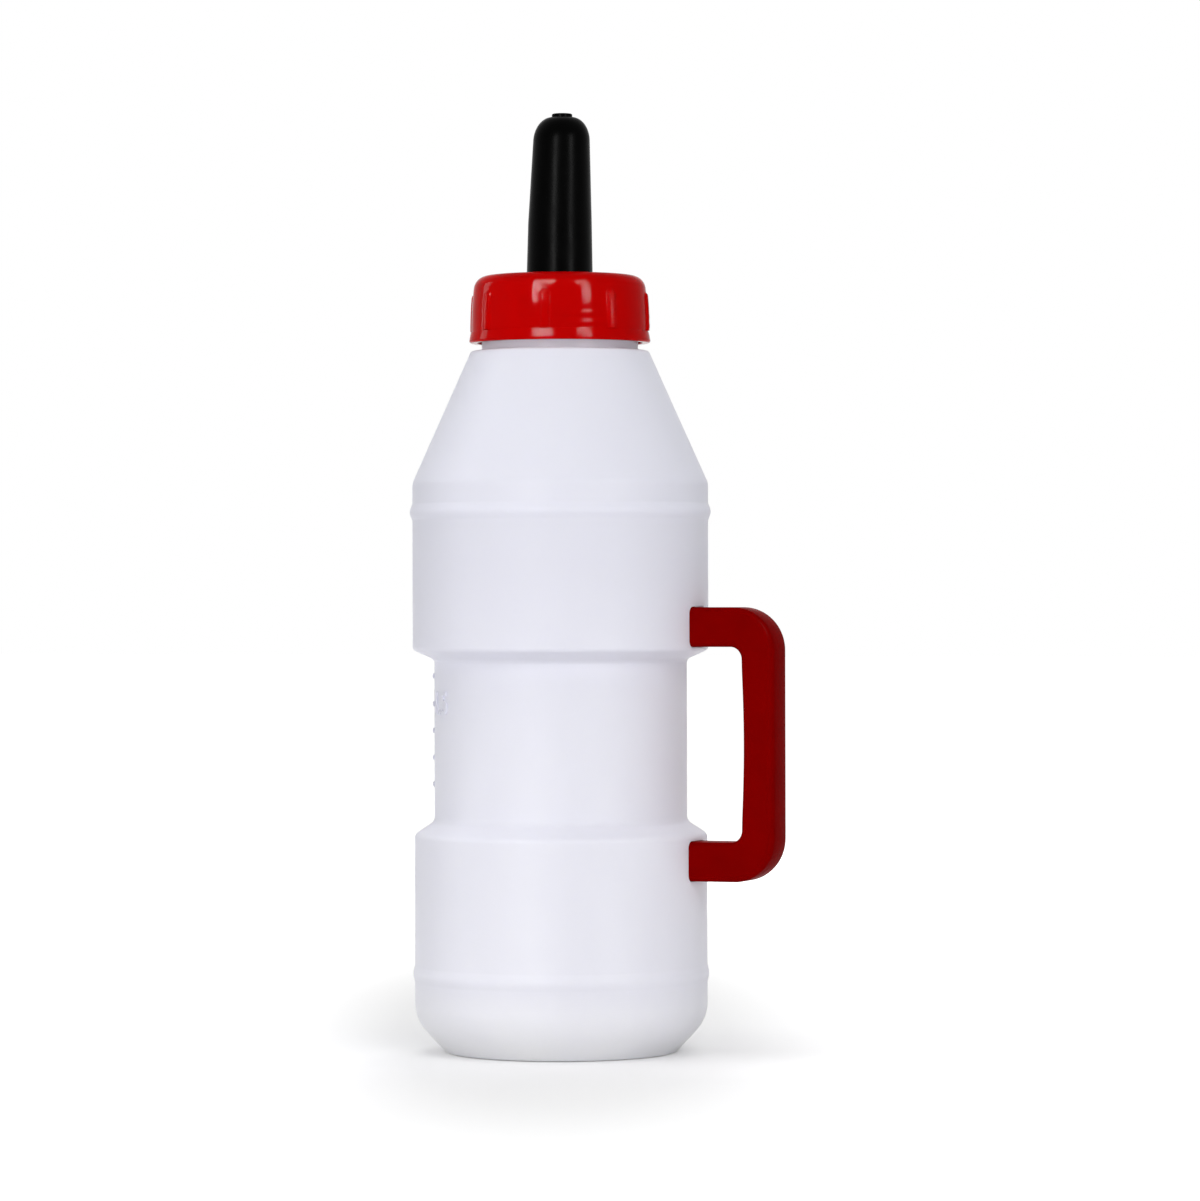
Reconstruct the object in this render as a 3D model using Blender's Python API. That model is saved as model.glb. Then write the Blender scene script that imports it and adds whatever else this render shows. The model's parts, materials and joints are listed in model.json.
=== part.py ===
"""Calf nursing bottle: a blow-moulded bottle with a clip-in handle, and a screw cap that
clamps a rubber teat, a ball valve and a rim washer on the neck.

Metres, +Z up. The bottle stands on z = 0 and its axis is upright. The handle reaches out
along +X, and the origin is under the middle of the whole outline.
"""

import math

import bmesh
import bpy
from mathutils import Vector

MM = 0.001

# Fits
CLEARANCE = 0.3 * MM
WALL = 2.0 * MM

# Bottle, from the ground up
FOOT_PUSH_UP = 5.0 * MM
FOOT_PUSH_UP_FILLET = 4.0 * MM
FOOT_SLOPE = 6.0 * MM
FOOT_RING_WIDTH = 4.5 * MM
FOOT_RING_INNER_FILLET = 1.2 * MM
FOOT_RING_OUTER_FILLET = 2.0 * MM
FOOT_CHAMFER_RUN = 13.2 * MM
FOOT_CHAMFER_RISE = 14.2 * MM
FOOT_CHAMFER_FILLET = 18.0 * MM
LOWER_RADIUS = 62.95 * MM
LOWER_HEIGHT = 93.5 * MM
SHOULDER_RISE = 5.7 * MM
SHOULDER_FILLET = 3.2 * MM
WAIST_RADIUS = 54.35 * MM
WAIST_HEIGHT = 69.2 * MM
WAIST_FOOT_FILLET = 4.0 * MM
WAIST_TOP_FILLET = 2.5 * MM
UNDERCUT_RISE = 4.3 * MM
UNDERCUT_FILLET = 2.2 * MM
UPPER_RADIUS = 63.6 * MM
UPPER_HEIGHT = 71.5 * MM
CONE_HEIGHT = 56.8 * MM
CONE_FOOT_FILLET = 8.0 * MM
CONE_TOP_RADIUS = 38.2 * MM
CONE_TOP_FILLET = 1.6 * MM
NECK_RADIUS = 33.6 * MM
NECK_HEIGHT = 21.1 * MM
NECK_ROOT_FILLET = 0.5 * MM

# Stiffening beads around the bottle, measured from the foot and from under the cone
BEAD_HEIGHT = 7.6 * MM
BEAD_PROUD = 1.1 * MM
BEAD_FLATNESS = 2.6
LOWER_BEAD_HEIGHT = 33.7 * MM
UPPER_BEAD_DROP = 12.4 * MM

# Handle
HANDLE_WIDTH = 15.0 * MM
HANDLE_REACH = 100.2 * MM
HANDLE_EDGE = 1.5 * MM
GRIP_THICKNESS = 14.8 * MM
GRIP_BOW = 1.0 * MM
GRIP_OUTER_FILLET = 18.3 * MM
GRIP_INNER_FILLET = 5.2 * MM
ARM_THICKNESS = 16.8 * MM
LOWER_ARM_DROP = 2.5 * MM
UPPER_ARM_LIFT = 1.5 * MM
LUG_HEIGHT = 1.2 * MM
LUG_LENGTH = 3.4 * MM
LUG_INSET = 1.4 * MM

# Closure stack on the rim, from the washer up
WASHER_THICKNESS = 2.0 * MM
WASHER_OVERLAP = 0.6 * MM
PLATE_THICKNESS = 2.0 * MM
TEAT_FLANGE = 3.0 * MM
CAP_TOP = 3.0 * MM

# Screw cap
CAP_WALL = 2.6 * MM
CAP_THREAD_ROOM = 1.8 * MM
CAP_STAND_OFF = 3.4 * MM
CAP_DRAFT = 1.7 * MM
CAP_TOP_FILLET = 6.0 * MM
CAP_MOUTH_FILLET = 0.5 * MM
CAP_FLANGE_HEIGHT = 4.8 * MM
CAP_FLANGE_PROUD = 1.2 * MM
CAP_FLANGE_FILLET = 1.0 * MM
CAP_HOLE_FILLET = 0.8 * MM
CAP_HOLE_CHAMFER = 1.6 * MM
RIB_COUNT = 8
RIB_WIDTH = 5.0 * MM
RIB_PROUD = 1.1 * MM
RIB_TOP_DROP = 7.0 * MM
RIB_TURN = math.radians(13.4)

# Teat
TEAT_BASE_RADIUS = 14.2 * MM
TEAT_KNEE_RADIUS = 13.7 * MM
TEAT_KNEE_HEIGHT = 22.5 * MM
TEAT_SHOULDER_RADIUS = 12.2 * MM
TEAT_REACH = 69.8 * MM
TEAT_DOME = 10.6 * MM
TEAT_TIP_RADIUS = 4.4 * MM
TEAT_TIP_HEIGHT = 1.5 * MM
TEAT_TIP_FILLET = 0.5 * MM
TEAT_WALL = 2.6 * MM
TEAT_HOLE_RADIUS = 1.3 * MM
TEAT_ROOT_FILLET = 1.1 * MM

# Ball valve
BALL_RADIUS = 5.5 * MM
BALL_TRAVEL = 3.5 * MM
BALL_SIDE_ROOM = 0.8 * MM
SEAT_HOLE_RADIUS = 3.4 * MM
SEAT_LIP = 1.0 * MM
CAGE_WALL = 1.6 * MM
CAGE_WINDOWS = 4
CAGE_WINDOW_WIDTH = 3.6 * MM
CAGE_WINDOW_FILLET = 1.6 * MM
CAGE_TOP_BAND = 1.5 * MM
RETAINER_THICKNESS = 2.0 * MM
RETAINER_STEP = 0.7 * MM
RETAINER_RING = 1.6 * MM
RETAINER_BAR = 2.2 * MM
RETAINER_BAR_INSET = 0.2 * MM
RETAINER_FILLET = 0.4 * MM

# Facets
BOTTLE_STEPS = 48
CLOSURE_STEPS = 32
FINE_ARC = math.radians(18)
ARC = math.radians(24)
COARSE_ARC = math.radians(45)
SMALL_FILLET = 1.3 * MM
CUT_OVERRUN = 3.0 * MM

# Heights worked out from the sizes above
LOWER_TOP = LOWER_HEIGHT
WAIST_BOTTOM = LOWER_TOP + SHOULDER_RISE
WAIST_TOP = WAIST_BOTTOM + WAIST_HEIGHT
UPPER_BOTTOM = WAIST_TOP + UNDERCUT_RISE
CONE_BOTTOM = UPPER_BOTTOM + UPPER_HEIGHT
LEDGE = CONE_BOTTOM + CONE_HEIGHT
RIM = LEDGE + NECK_HEIGHT
WASHER_BOTTOM = RIM + CLEARANCE
PLATE_BOTTOM = WASHER_BOTTOM + WASHER_THICKNESS + CLEARANCE
PLATE_TOP = PLATE_BOTTOM + PLATE_THICKNESS
TEAT_BOTTOM = PLATE_TOP + CLEARANCE
FLANGE_TOP = TEAT_BOTTOM + TEAT_FLANGE
CAP_CEILING = FLANGE_TOP + CLEARANCE
CAP_CROWN = CAP_CEILING + CAP_TOP
CAP_BOTTOM = LEDGE + CAP_STAND_OFF
TEAT_TIP = CAP_CROWN + TEAT_REACH - TEAT_TIP_HEIGHT

# Radii worked out from the sizes above
CAP_INNER = NECK_RADIUS + CAP_THREAD_ROOM
STACK_RADIUS = CAP_INNER - 5 * CLEARANCE
CAP_HOLE = TEAT_BASE_RADIUS + CLEARANCE
CAGE_BORE = BALL_RADIUS + BALL_SIDE_ROOM
BEAD_RADIUS = UPPER_RADIUS + BEAD_PROUD
FOOT_RING_OUTSIDE = LOWER_RADIUS - FOOT_CHAMFER_RUN
FOOT_RING_INSIDE = FOOT_RING_OUTSIDE - FOOT_RING_WIDTH

# The origin lies under the middle of the outline, so the bottle's axis is off it along X
AXIS_X = (BEAD_RADIUS - HANDLE_REACH) / 2

# Handle places, measured from the bottle's axis
SOCKET_FLOOR = WAIST_RADIUS + CLEARANCE / 2
FOOT_END = SOCKET_FLOOR + CLEARANCE
GRIP_INSIDE = HANDLE_REACH - GRIP_THICKNESS
LOWER_ARM_TOP = LOWER_TOP - LOWER_ARM_DROP
LOWER_ARM_BOTTOM = LOWER_ARM_TOP - ARM_THICKNESS
UPPER_ARM_BOTTOM = UPPER_BOTTOM + UPPER_ARM_LIFT
UPPER_ARM_TOP = UPPER_ARM_BOTTOM + ARM_THICKNESS


def clear_scene():
    """Starts from an empty scene."""
    for thing in list(bpy.data.objects):
        bpy.data.objects.remove(thing, do_unlink=True)


def material(name, colour, roughness):
    """A moulded plastic or rubber, with no metal in it."""
    made = bpy.data.materials.new(name)
    made.use_nodes = True
    shader = made.node_tree.nodes["Principled BSDF"]
    shader.inputs["Base Color"].default_value = (*colour, 1.0)
    shader.inputs["Roughness"].default_value = roughness
    shader.inputs["Metallic"].default_value = 0.0
    made.diffuse_color = (*colour, 1.0)
    return made


def rounded(corners, closed=False, arc=ARC):
    """The points of an outline whose corners (x, z, radius) are rounded with arcs.

    Where two arcs want more of a side than it has, they share it. Small fillets get few steps.
    """
    count = len(corners)
    spots = [Vector(corner[:2]) for corner in corners]
    halves = []
    wanted = []
    for index, (x, z, radius) in enumerate(corners):
        back = spots[index - 1] - spots[index]
        ahead = spots[(index + 1) % count] - spots[index]
        sharp = radius <= 0 or (not closed and index in (0, count - 1))
        halves.append(back.angle(ahead) / 2)
        wanted.append(0 if sharp else radius / math.tan(halves[index]))
    points = []
    for index, here in enumerate(spots):
        if not wanted[index]:
            points.append(here)
            continue
        reach = wanted[index]
        for other in (index - 1, (index + 1) % count):
            room = 0.98 * (spots[other] - here).length
            reach = min(reach, room * wanted[index] / (wanted[index] + wanted[other]))
        back = (spots[index - 1] - here).normalized()
        ahead = (spots[(index + 1) % count] - here).normalized()
        centre = here + (back + ahead).normalized() * reach / math.cos(halves[index])
        start = here + back * reach - centre
        turn = start.angle_signed(here + ahead * reach - centre)
        facet = arc if corners[index][2] > SMALL_FILLET else COARSE_ARC
        steps = max(1, math.ceil(abs(turn) / facet))
        for step in range(steps + 1):
            angle = -turn * step / steps
            points.append(centre + Vector((
                start.x * math.cos(angle) - start.y * math.sin(angle),
                start.x * math.sin(angle) + start.y * math.cos(angle),
            )))
    return points


def bead(radius, height):
    """Corners of a flattened round bead that stands proud of a wall, from its lower edge up."""
    corners = []
    for step in range(5):
        share = step / 4
        proud = BEAD_PROUD * (1 - abs(2 * share - 1) ** BEAD_FLATNESS)
        corners.append((radius + proud, height + BEAD_HEIGHT * (share - 0.5), 0))
    return corners


def inset(corners, wall):
    """The corners of a line that lies one wall inside an open outline run from the foot up."""
    moved = []
    last = len(corners) - 1
    for index, (x, z, radius) in enumerate(corners):
        here = Vector((x, z))
        before = (here - Vector(corners[max(index - 1, 0)][:2])).normalized()
        after = (Vector(corners[min(index + 1, last)][:2]) - here).normalized()
        if index == 0:
            before = after
        if index == last:
            after = before
        inward = Vector((-before.y - after.y, before.x + after.x)) / (1 + before.dot(after))
        bend = before.x * after.y - before.y * after.x
        arc = radius - wall if bend > 0 else radius + wall
        place = here + inward * wall
        moved.append((place.x, place.y, max(arc, 0) if radius else 0))
    return moved


def mesh_object(name, built, parent=None):
    """An object from a bmesh, with its faces pointing out."""
    bmesh.ops.recalc_face_normals(built, faces=built.faces)
    mesh = bpy.data.meshes.new(name)
    built.to_mesh(mesh)
    built.free()
    thing = bpy.data.objects.new(name, mesh)
    bpy.context.scene.collection.objects.link(thing)
    thing.parent = parent
    return thing


def turned(name, outline, steps, parent=None, closed=False):
    """A solid turned about Z from (radius, height) points."""
    built = bmesh.new()
    points = [built.verts.new((x, 0, z)) for x, z in outline]
    pairs = list(zip(points, points[1:]))
    if closed:
        pairs.append((points[-1], points[0]))
    edges = [built.edges.new(pair) for pair in pairs]
    bmesh.ops.spin(
        built,
        geom=points + edges,
        axis=(0, 0, 1),
        cent=(0, 0, 0),
        angle=2 * math.pi,
        steps=steps,
        use_merge=True,
    )
    bmesh.ops.remove_doubles(built, verts=built.verts, dist=0.001 * MM)
    return mesh_object(name, built, parent)


def extruded(name, outline, width, parent=None):
    """A solid drawn in the XZ plane and extruded evenly to both sides of it."""
    built = bmesh.new()
    points = [built.verts.new((x, -width / 2, z)) for x, z in outline]
    face = built.faces.new(points)
    grown = bmesh.ops.extrude_face_region(built, geom=[face])
    moved = [item for item in grown["geom"] if isinstance(item, bmesh.types.BMVert)]
    bmesh.ops.translate(built, verts=moved, vec=(0, width, 0))
    return mesh_object(name, built, parent)


def helper(thing):
    """Marks a cutter, or a form that another object is cut with, as no piece of its own."""
    thing.hide_render = True
    thing.display_type = "WIRE"
    return thing


def boolean(thing, other, operation):
    """Cuts one object by another, or joins them."""
    modifier = thing.modifiers.new(operation.title() + " " + other.name, "BOOLEAN")
    modifier.operation = operation
    modifier.object = helper(other)
    modifier.solver = "EXACT"


def finish(thing, look):
    """Applies an object's modifiers, then shades its round faces smooth and its edges sharp."""
    bpy.context.view_layer.update()
    graph = bpy.context.evaluated_depsgraph_get()
    mesh = bpy.data.meshes.new_from_object(thing.evaluated_get(graph))
    thing.modifiers.clear()
    thing.data = mesh
    mesh.name = thing.name
    mesh.materials.clear()
    mesh.materials.append(look)
    mesh.shade_smooth()
    mesh.set_sharp_from_angle(angle=math.radians(32))


def bottle_corners():
    """The corners of the bottle's outside, from the middle of its foot to its rim."""
    return {
        "foot": [
            (0, FOOT_PUSH_UP, 0),
            (FOOT_RING_INSIDE - FOOT_SLOPE, FOOT_PUSH_UP, FOOT_PUSH_UP_FILLET),
            (FOOT_RING_INSIDE, 0, FOOT_RING_INNER_FILLET),
            (FOOT_RING_OUTSIDE, 0, FOOT_RING_OUTER_FILLET),
            (LOWER_RADIUS, FOOT_CHAMFER_RISE, FOOT_CHAMFER_FILLET),
        ],
        "body": [
            (LOWER_RADIUS, LOWER_TOP, SHOULDER_FILLET),
            (WAIST_RADIUS, WAIST_BOTTOM, WAIST_FOOT_FILLET),
            (WAIST_RADIUS, WAIST_TOP, WAIST_TOP_FILLET),
            (UPPER_RADIUS, UPPER_BOTTOM, UNDERCUT_FILLET),
        ],
        "cone": [
            (UPPER_RADIUS, CONE_BOTTOM, CONE_FOOT_FILLET),
            (CONE_TOP_RADIUS, LEDGE, CONE_TOP_FILLET),
            (NECK_RADIUS, LEDGE, NECK_ROOT_FILLET),
        ],
        "rim": [(NECK_RADIUS, RIM, 0)],
    }


def bottle(parent):
    """The blown shell: an outside form, less the hollow that its walls leave."""
    parts = bottle_corners()
    outside = (
        parts["foot"]
        + bead(LOWER_RADIUS, LOWER_BEAD_HEIGHT)
        + parts["body"]
        + bead(UPPER_RADIUS, CONE_BOTTOM - UPPER_BEAD_DROP)
        + parts["cone"]
        + parts["rim"]
        + [(0, RIM, 0)]
    )
    shell = turned("bottle", rounded(outside), BOTTLE_STEPS, parent)
    inside = inset(parts["foot"] + parts["body"] + parts["cone"] + parts["rim"], WALL)
    top_radius = inside[-1][0]
    inside[-1] = (top_radius, RIM + CUT_OVERRUN, 0)
    inside.append((0, RIM + CUT_OVERRUN, 0))
    hollow = turned("bottle_hollow", rounded(inside, arc=COARSE_ARC), BOTTLE_STEPS, parent)
    for name, radius, low, high, side in sockets():
        outline = socket_outline(radius, low, high, side, WALL)
        pocket = extruded(name + "_wall", outline, socket_width(WALL), parent)
        boolean(hollow, pocket, "DIFFERENCE")
    boolean(shell, hollow, "DIFFERENCE")
    for name, radius, low, high, side in sockets():
        pocket = extruded(name, socket_outline(radius, low, high, side, 0), socket_width(0), parent)
        boolean(shell, pocket, "DIFFERENCE")
    return shell


def sockets():
    """The two blind sockets for the handle's feet: name, wall's radius, low, high, side of the lug."""
    return [
        ("lower_socket", LOWER_RADIUS, LOWER_ARM_BOTTOM, LOWER_ARM_TOP, -1),
        ("upper_socket", UPPER_RADIUS, UPPER_ARM_BOTTOM, UPPER_ARM_TOP, 1),
    ]


def socket_width(wall):
    """How wide a socket is, or the block that its wall is left from."""
    return HANDLE_WIDTH + 2 * (CLEARANCE + wall)


def socket_outline(radius, low, high, side, wall):
    """A socket from the side: a pocket around the arm with a groove for its lug."""
    grow = CLEARANCE + wall
    floor = SOCKET_FLOOR - wall
    mouth = radius + BEAD_PROUD + CUT_OVERRUN
    lug_in = FOOT_END + LUG_INSET - grow
    lug_out = FOOT_END + LUG_INSET + LUG_LENGTH + grow
    plain, lugged = (low, high) if side > 0 else (high, low)
    plain -= side * grow
    lugged += side * grow
    groove = lugged + side * LUG_HEIGHT
    return [
        (floor, plain),
        (mouth, plain),
        (mouth, lugged),
        (lug_out, lugged),
        (lug_out, groove),
        (lug_in, groove),
        (lug_in, lugged),
        (floor, lugged),
    ]


def handle(parent):
    """The C-shaped handle: a bowed grip, two arms, and a foot with a snap lug on each arm."""
    lug_in = FOOT_END + LUG_INSET
    lug_out = lug_in + LUG_LENGTH
    grip_low = LOWER_ARM_TOP + GRIP_INNER_FILLET
    grip_high = UPPER_ARM_BOTTOM - GRIP_INNER_FILLET
    bowed = []
    for step in range(1, 6):
        share = step / 6
        height = grip_high + (grip_low - grip_high) * share
        bowed.append((GRIP_INSIDE + GRIP_BOW * math.sin(math.pi * share), height, 0))
    outline = [
        (FOOT_END, UPPER_ARM_BOTTOM, 0),
        (GRIP_INSIDE, UPPER_ARM_BOTTOM, GRIP_INNER_FILLET),
        *bowed,
        (GRIP_INSIDE, LOWER_ARM_TOP, GRIP_INNER_FILLET),
        (FOOT_END, LOWER_ARM_TOP, 0),
        (FOOT_END, LOWER_ARM_BOTTOM, 0),
        (lug_in, LOWER_ARM_BOTTOM, 0),
        (lug_out - CLEARANCE, LOWER_ARM_BOTTOM - LUG_HEIGHT, 0),
        (lug_out, LOWER_ARM_BOTTOM, 0),
        (HANDLE_REACH, LOWER_ARM_BOTTOM, GRIP_OUTER_FILLET),
        (HANDLE_REACH, UPPER_ARM_TOP, GRIP_OUTER_FILLET),
        (lug_out, UPPER_ARM_TOP, 0),
        (lug_out - CLEARANCE, UPPER_ARM_TOP + LUG_HEIGHT, 0),
        (lug_in, UPPER_ARM_TOP, 0),
        (FOOT_END, UPPER_ARM_TOP, 0),
    ]
    grip = extruded("handle", rounded(outline, closed=True, arc=FINE_ARC), HANDLE_WIDTH, parent)
    edges = grip.modifiers.new("Moulded edges", "BEVEL")
    edges.width = HANDLE_EDGE
    edges.segments = 2
    edges.limit_method = "ANGLE"
    edges.angle_limit = math.radians(75)
    return grip


def cap(parent):
    """The screw ring: a tapered skirt with a flange, a crown with a hole, and grip ribs."""
    skirt_low = CAP_INNER + CAP_WALL
    skirt_high = skirt_low - CAP_DRAFT
    flange = skirt_low + CAP_FLANGE_PROUD
    shelf = CAP_BOTTOM + CAP_FLANGE_HEIGHT
    outline = [
        (CAP_INNER, CAP_BOTTOM, CAP_MOUTH_FILLET),
        (flange, CAP_BOTTOM, CAP_FLANGE_FILLET),
        (flange, shelf, CAP_FLANGE_FILLET),
        (skirt_low, shelf, 0),
        (skirt_high, CAP_CROWN, CAP_TOP_FILLET),
        (CAP_HOLE, CAP_CROWN, CAP_HOLE_FILLET),
        (CAP_HOLE, CAP_CEILING + CAP_HOLE_CHAMFER, 0),
        (CAP_HOLE + CAP_HOLE_CHAMFER, CAP_CEILING, 0),
        (CAP_INNER, CAP_CEILING, CAP_MOUTH_FILLET),
    ]
    ring = turned("screw_cap", rounded(outline, closed=True), BOTTLE_STEPS, parent, closed=True)
    rib_low = CAP_BOTTOM + CAP_FLANGE_HEIGHT / 2
    rib_high = CAP_CROWN - RIB_TOP_DROP
    lean = math.atan2(CAP_DRAFT, CAP_CROWN - shelf)
    for index in range(RIB_COUNT):
        rib = grip_rib("rib_%d" % index, rib_high - rib_low)
        rib.parent = parent
        turn = RIB_TURN + 2 * math.pi * index / RIB_COUNT
        radius = skirt_low + (rib_low - shelf) * -math.tan(lean)
        rib.location = (radius * math.cos(turn), radius * math.sin(turn), rib_low)
        rib.rotation_euler = (0, -lean, turn)
        boolean(ring, rib, "UNION")
    return ring


def grip_rib(name, height):
    """A round-topped bar that stands proud along +X, with its foot at the origin."""
    half = RIB_WIDTH / 2
    outline = [Vector((-half, 0)), Vector((half, 0))]
    for step in range(5):
        angle = math.pi * step / 4
        outline.append(Vector((half * math.cos(angle), height - half + half * math.sin(angle))))
    built = bmesh.new()
    points = [built.verts.new((-CUT_OVERRUN / 2, x, z)) for x, z in outline]
    face = built.faces.new(points)
    grown = bmesh.ops.extrude_face_region(built, geom=[face])
    front = [item for item in grown["geom"] if isinstance(item, bmesh.types.BMVert)]
    bmesh.ops.translate(built, verts=front, vec=(CUT_OVERRUN / 2 + RIB_PROUD, 0, 0))
    rim = [edge for edge in built.edges if all(point in front for point in edge.verts)]
    bmesh.ops.bevel(built, geom=rim, offset=0.5 * RIB_PROUD, segments=1, affect="EDGES")
    return mesh_object(name, built)


def teat(parent):
    """The rubber teat: a wide flange, a slightly tapered barrel, a dome and a collar at the tip."""
    shoulder = TEAT_TIP - TEAT_DOME
    bore = TEAT_BASE_RADIUS - TEAT_WALL
    outline = [
        (bore, TEAT_BOTTOM, 0),
        (STACK_RADIUS, TEAT_BOTTOM, 0),
        (STACK_RADIUS, FLANGE_TOP, 0),
        (TEAT_BASE_RADIUS, FLANGE_TOP, TEAT_ROOT_FILLET),
        (TEAT_BASE_RADIUS, CAP_CROWN, 0),
        (TEAT_KNEE_RADIUS, CAP_CROWN + TEAT_KNEE_HEIGHT, 0),
        (TEAT_SHOULDER_RADIUS, shoulder, 0),
        *dome(TEAT_SHOULDER_RADIUS, TEAT_TIP_RADIUS, shoulder, TEAT_TIP),
        (TEAT_TIP_RADIUS, TEAT_TIP + TEAT_TIP_HEIGHT, TEAT_TIP_FILLET),
        (TEAT_HOLE_RADIUS, TEAT_TIP + TEAT_TIP_HEIGHT, 0),
        (TEAT_HOLE_RADIUS, TEAT_TIP - TEAT_WALL, 0),
        *reversed(dome(TEAT_SHOULDER_RADIUS - TEAT_WALL, TEAT_TIP_RADIUS - TEAT_WALL / 2,
                       shoulder, TEAT_TIP - TEAT_WALL)),
        (TEAT_SHOULDER_RADIUS - TEAT_WALL, shoulder, 0),
    ]
    return turned("teat", rounded(outline, closed=True), CLOSURE_STEPS, parent, closed=True)


def dome(wide, narrow, low, high):
    """Corners of a quarter-round dome between two radii, without its first point."""
    corners = []
    for step in range(1, 5):
        angle = math.pi / 2 * step / 4
        radius = narrow + (wide - narrow) * math.cos(angle)
        corners.append((radius, low + (high - low) * math.sin(angle), 0))
    return corners


def rim_washer(parent):
    """The flat washer that seals the valve plate to the bottle's rim."""
    inside = NECK_RADIUS - WALL - WASHER_OVERLAP
    top = WASHER_BOTTOM + WASHER_THICKNESS
    outline = [
        (inside, WASHER_BOTTOM, 0),
        (STACK_RADIUS, WASHER_BOTTOM, 0),
        (STACK_RADIUS, top, 0),
        (inside, top, 0),
    ]
    return turned("rim_washer", rounded(outline), CLOSURE_STEPS, parent, closed=True)


def ball_height():
    """The ball's centre when it lies one clearance off its 45 degree seat."""
    contact = BALL_RADIUS * math.sqrt(0.5)
    seat = PLATE_BOTTOM + SEAT_LIP + contact - SEAT_HOLE_RADIUS
    return seat + contact + CLEARANCE * math.sqrt(2)


def retainer_bottom():
    """The retainer's underside, one clearance above the ball at the top of its travel."""
    return ball_height() + BALL_RADIUS + BALL_TRAVEL + CLEARANCE


def valve_plate(parent):
    """The rigid plate under the teat's flange, with the ball's seat and its cage."""
    cone_top = PLATE_BOTTOM + SEAT_LIP + CAGE_BORE - SEAT_HOLE_RADIUS
    step = retainer_bottom() - CLEARANCE
    pocket = CAGE_BORE + RETAINER_STEP
    top = step + CLEARANCE + RETAINER_THICKNESS + CLEARANCE
    outside = pocket + CAGE_WALL
    outline = [
        (SEAT_HOLE_RADIUS, PLATE_BOTTOM, 0),
        (STACK_RADIUS, PLATE_BOTTOM, 0),
        (STACK_RADIUS, PLATE_TOP, 0),
        (outside, PLATE_TOP, 0),
        (outside, top, 0),
        (pocket, top, 0),
        (pocket, step, 0),
        (CAGE_BORE, step, 0),
        (CAGE_BORE, cone_top, 0),
        (SEAT_HOLE_RADIUS, PLATE_BOTTOM + SEAT_LIP, 0),
    ]
    plate = turned("valve_plate", rounded(outline, closed=True), CLOSURE_STEPS, parent, closed=True)
    low = cone_top + CLEARANCE
    high = step - CAGE_TOP_BAND
    half = CAGE_WINDOW_WIDTH / 2
    fillet = CAGE_WINDOW_FILLET
    for index in range(CAGE_WINDOWS // 2):
        corners = [(-half, low, 0), (half, low, 0), (half, high, fillet), (-half, high, fillet)]
        window = extruded("window_%d" % index, rounded(corners, closed=True), 4 * outside, parent)
        window.rotation_euler = (0, 0, math.pi / 4 + 2 * math.pi * index / CAGE_WINDOWS)
        boolean(plate, window, "DIFFERENCE")
    return plate


def ball_retainer(parent):
    """The snap-in ring with a cross bar that keeps the ball in its cage."""
    outside = CAGE_BORE + RETAINER_STEP - CLEARANCE
    low = retainer_bottom()
    high = low + RETAINER_THICKNESS
    outline = [
        (outside - RETAINER_RING, low, 0),
        (outside, low, 0),
        (outside, high, RETAINER_FILLET),
        (outside - RETAINER_RING, high, 0),
    ]
    ring = turned("ball_retainer", rounded(outline, closed=True), CLOSURE_STEPS, parent, closed=True)
    reach = outside - RETAINER_RING / 2
    under = low + RETAINER_BAR_INSET
    over = high - RETAINER_BAR_INSET
    bar_outline = [(-reach, under), (reach, under), (reach, over), (-reach, over)]
    bar = extruded("retainer_bar", bar_outline, RETAINER_BAR, parent)
    boolean(ring, bar, "UNION")
    return ring


def valve_ball(parent):
    """The ball, with its origin at its centre."""
    built = bmesh.new()
    bmesh.ops.create_uvsphere(built, u_segments=16, v_segments=10, radius=BALL_RADIUS)
    ball = mesh_object("valve_ball", built, parent)
    ball.location = (0, 0, ball_height())
    return ball


def main():
    clear_scene()
    axis = bpy.data.objects.new("bottle_axis", None)
    axis.location = (AXIS_X, 0, 0)
    bpy.context.scene.collection.objects.link(axis)
    milky = material("milky_polyethylene", (0.80, 0.80, 0.87), 0.32)
    red = material("red_polypropylene", (0.56, 0.002, 0.002), 0.25)
    dark_red = material("dark_red_polypropylene", (0.30, 0.0015, 0.0015), 0.38)
    black = material("black_rubber", (0.010, 0.010, 0.010), 0.45)
    white = material("white_polypropylene", (0.78, 0.78, 0.76), 0.35)
    clear = material("grey_silicone", (0.52, 0.54, 0.56), 0.5)
    finish(bottle(axis), milky)
    finish(handle(axis), dark_red)
    finish(cap(axis), red)
    finish(teat(axis), black)
    finish(valve_plate(axis), white)
    finish(ball_retainer(axis), white)
    finish(valve_ball(axis), dark_red)
    finish(rim_washer(axis), clear)


main()
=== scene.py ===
"""Calf nursing bottle, dressed: fine surfaces, moulded details and materials over the CAD frame.

Metres, +Z up, the same frame as the CAD. The bottle's axis is upright, and the handle reaches
out along +X.
"""

import json
import math

import bmesh
import bpy
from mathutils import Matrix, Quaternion, Vector


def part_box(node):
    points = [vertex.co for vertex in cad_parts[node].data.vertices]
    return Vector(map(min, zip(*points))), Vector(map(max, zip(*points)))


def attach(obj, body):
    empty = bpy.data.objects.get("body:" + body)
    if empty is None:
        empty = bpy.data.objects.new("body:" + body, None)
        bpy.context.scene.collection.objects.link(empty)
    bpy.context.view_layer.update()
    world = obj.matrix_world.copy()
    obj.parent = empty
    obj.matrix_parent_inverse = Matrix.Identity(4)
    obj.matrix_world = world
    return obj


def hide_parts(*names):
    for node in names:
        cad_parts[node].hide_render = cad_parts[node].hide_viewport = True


MM = 0.001

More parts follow.
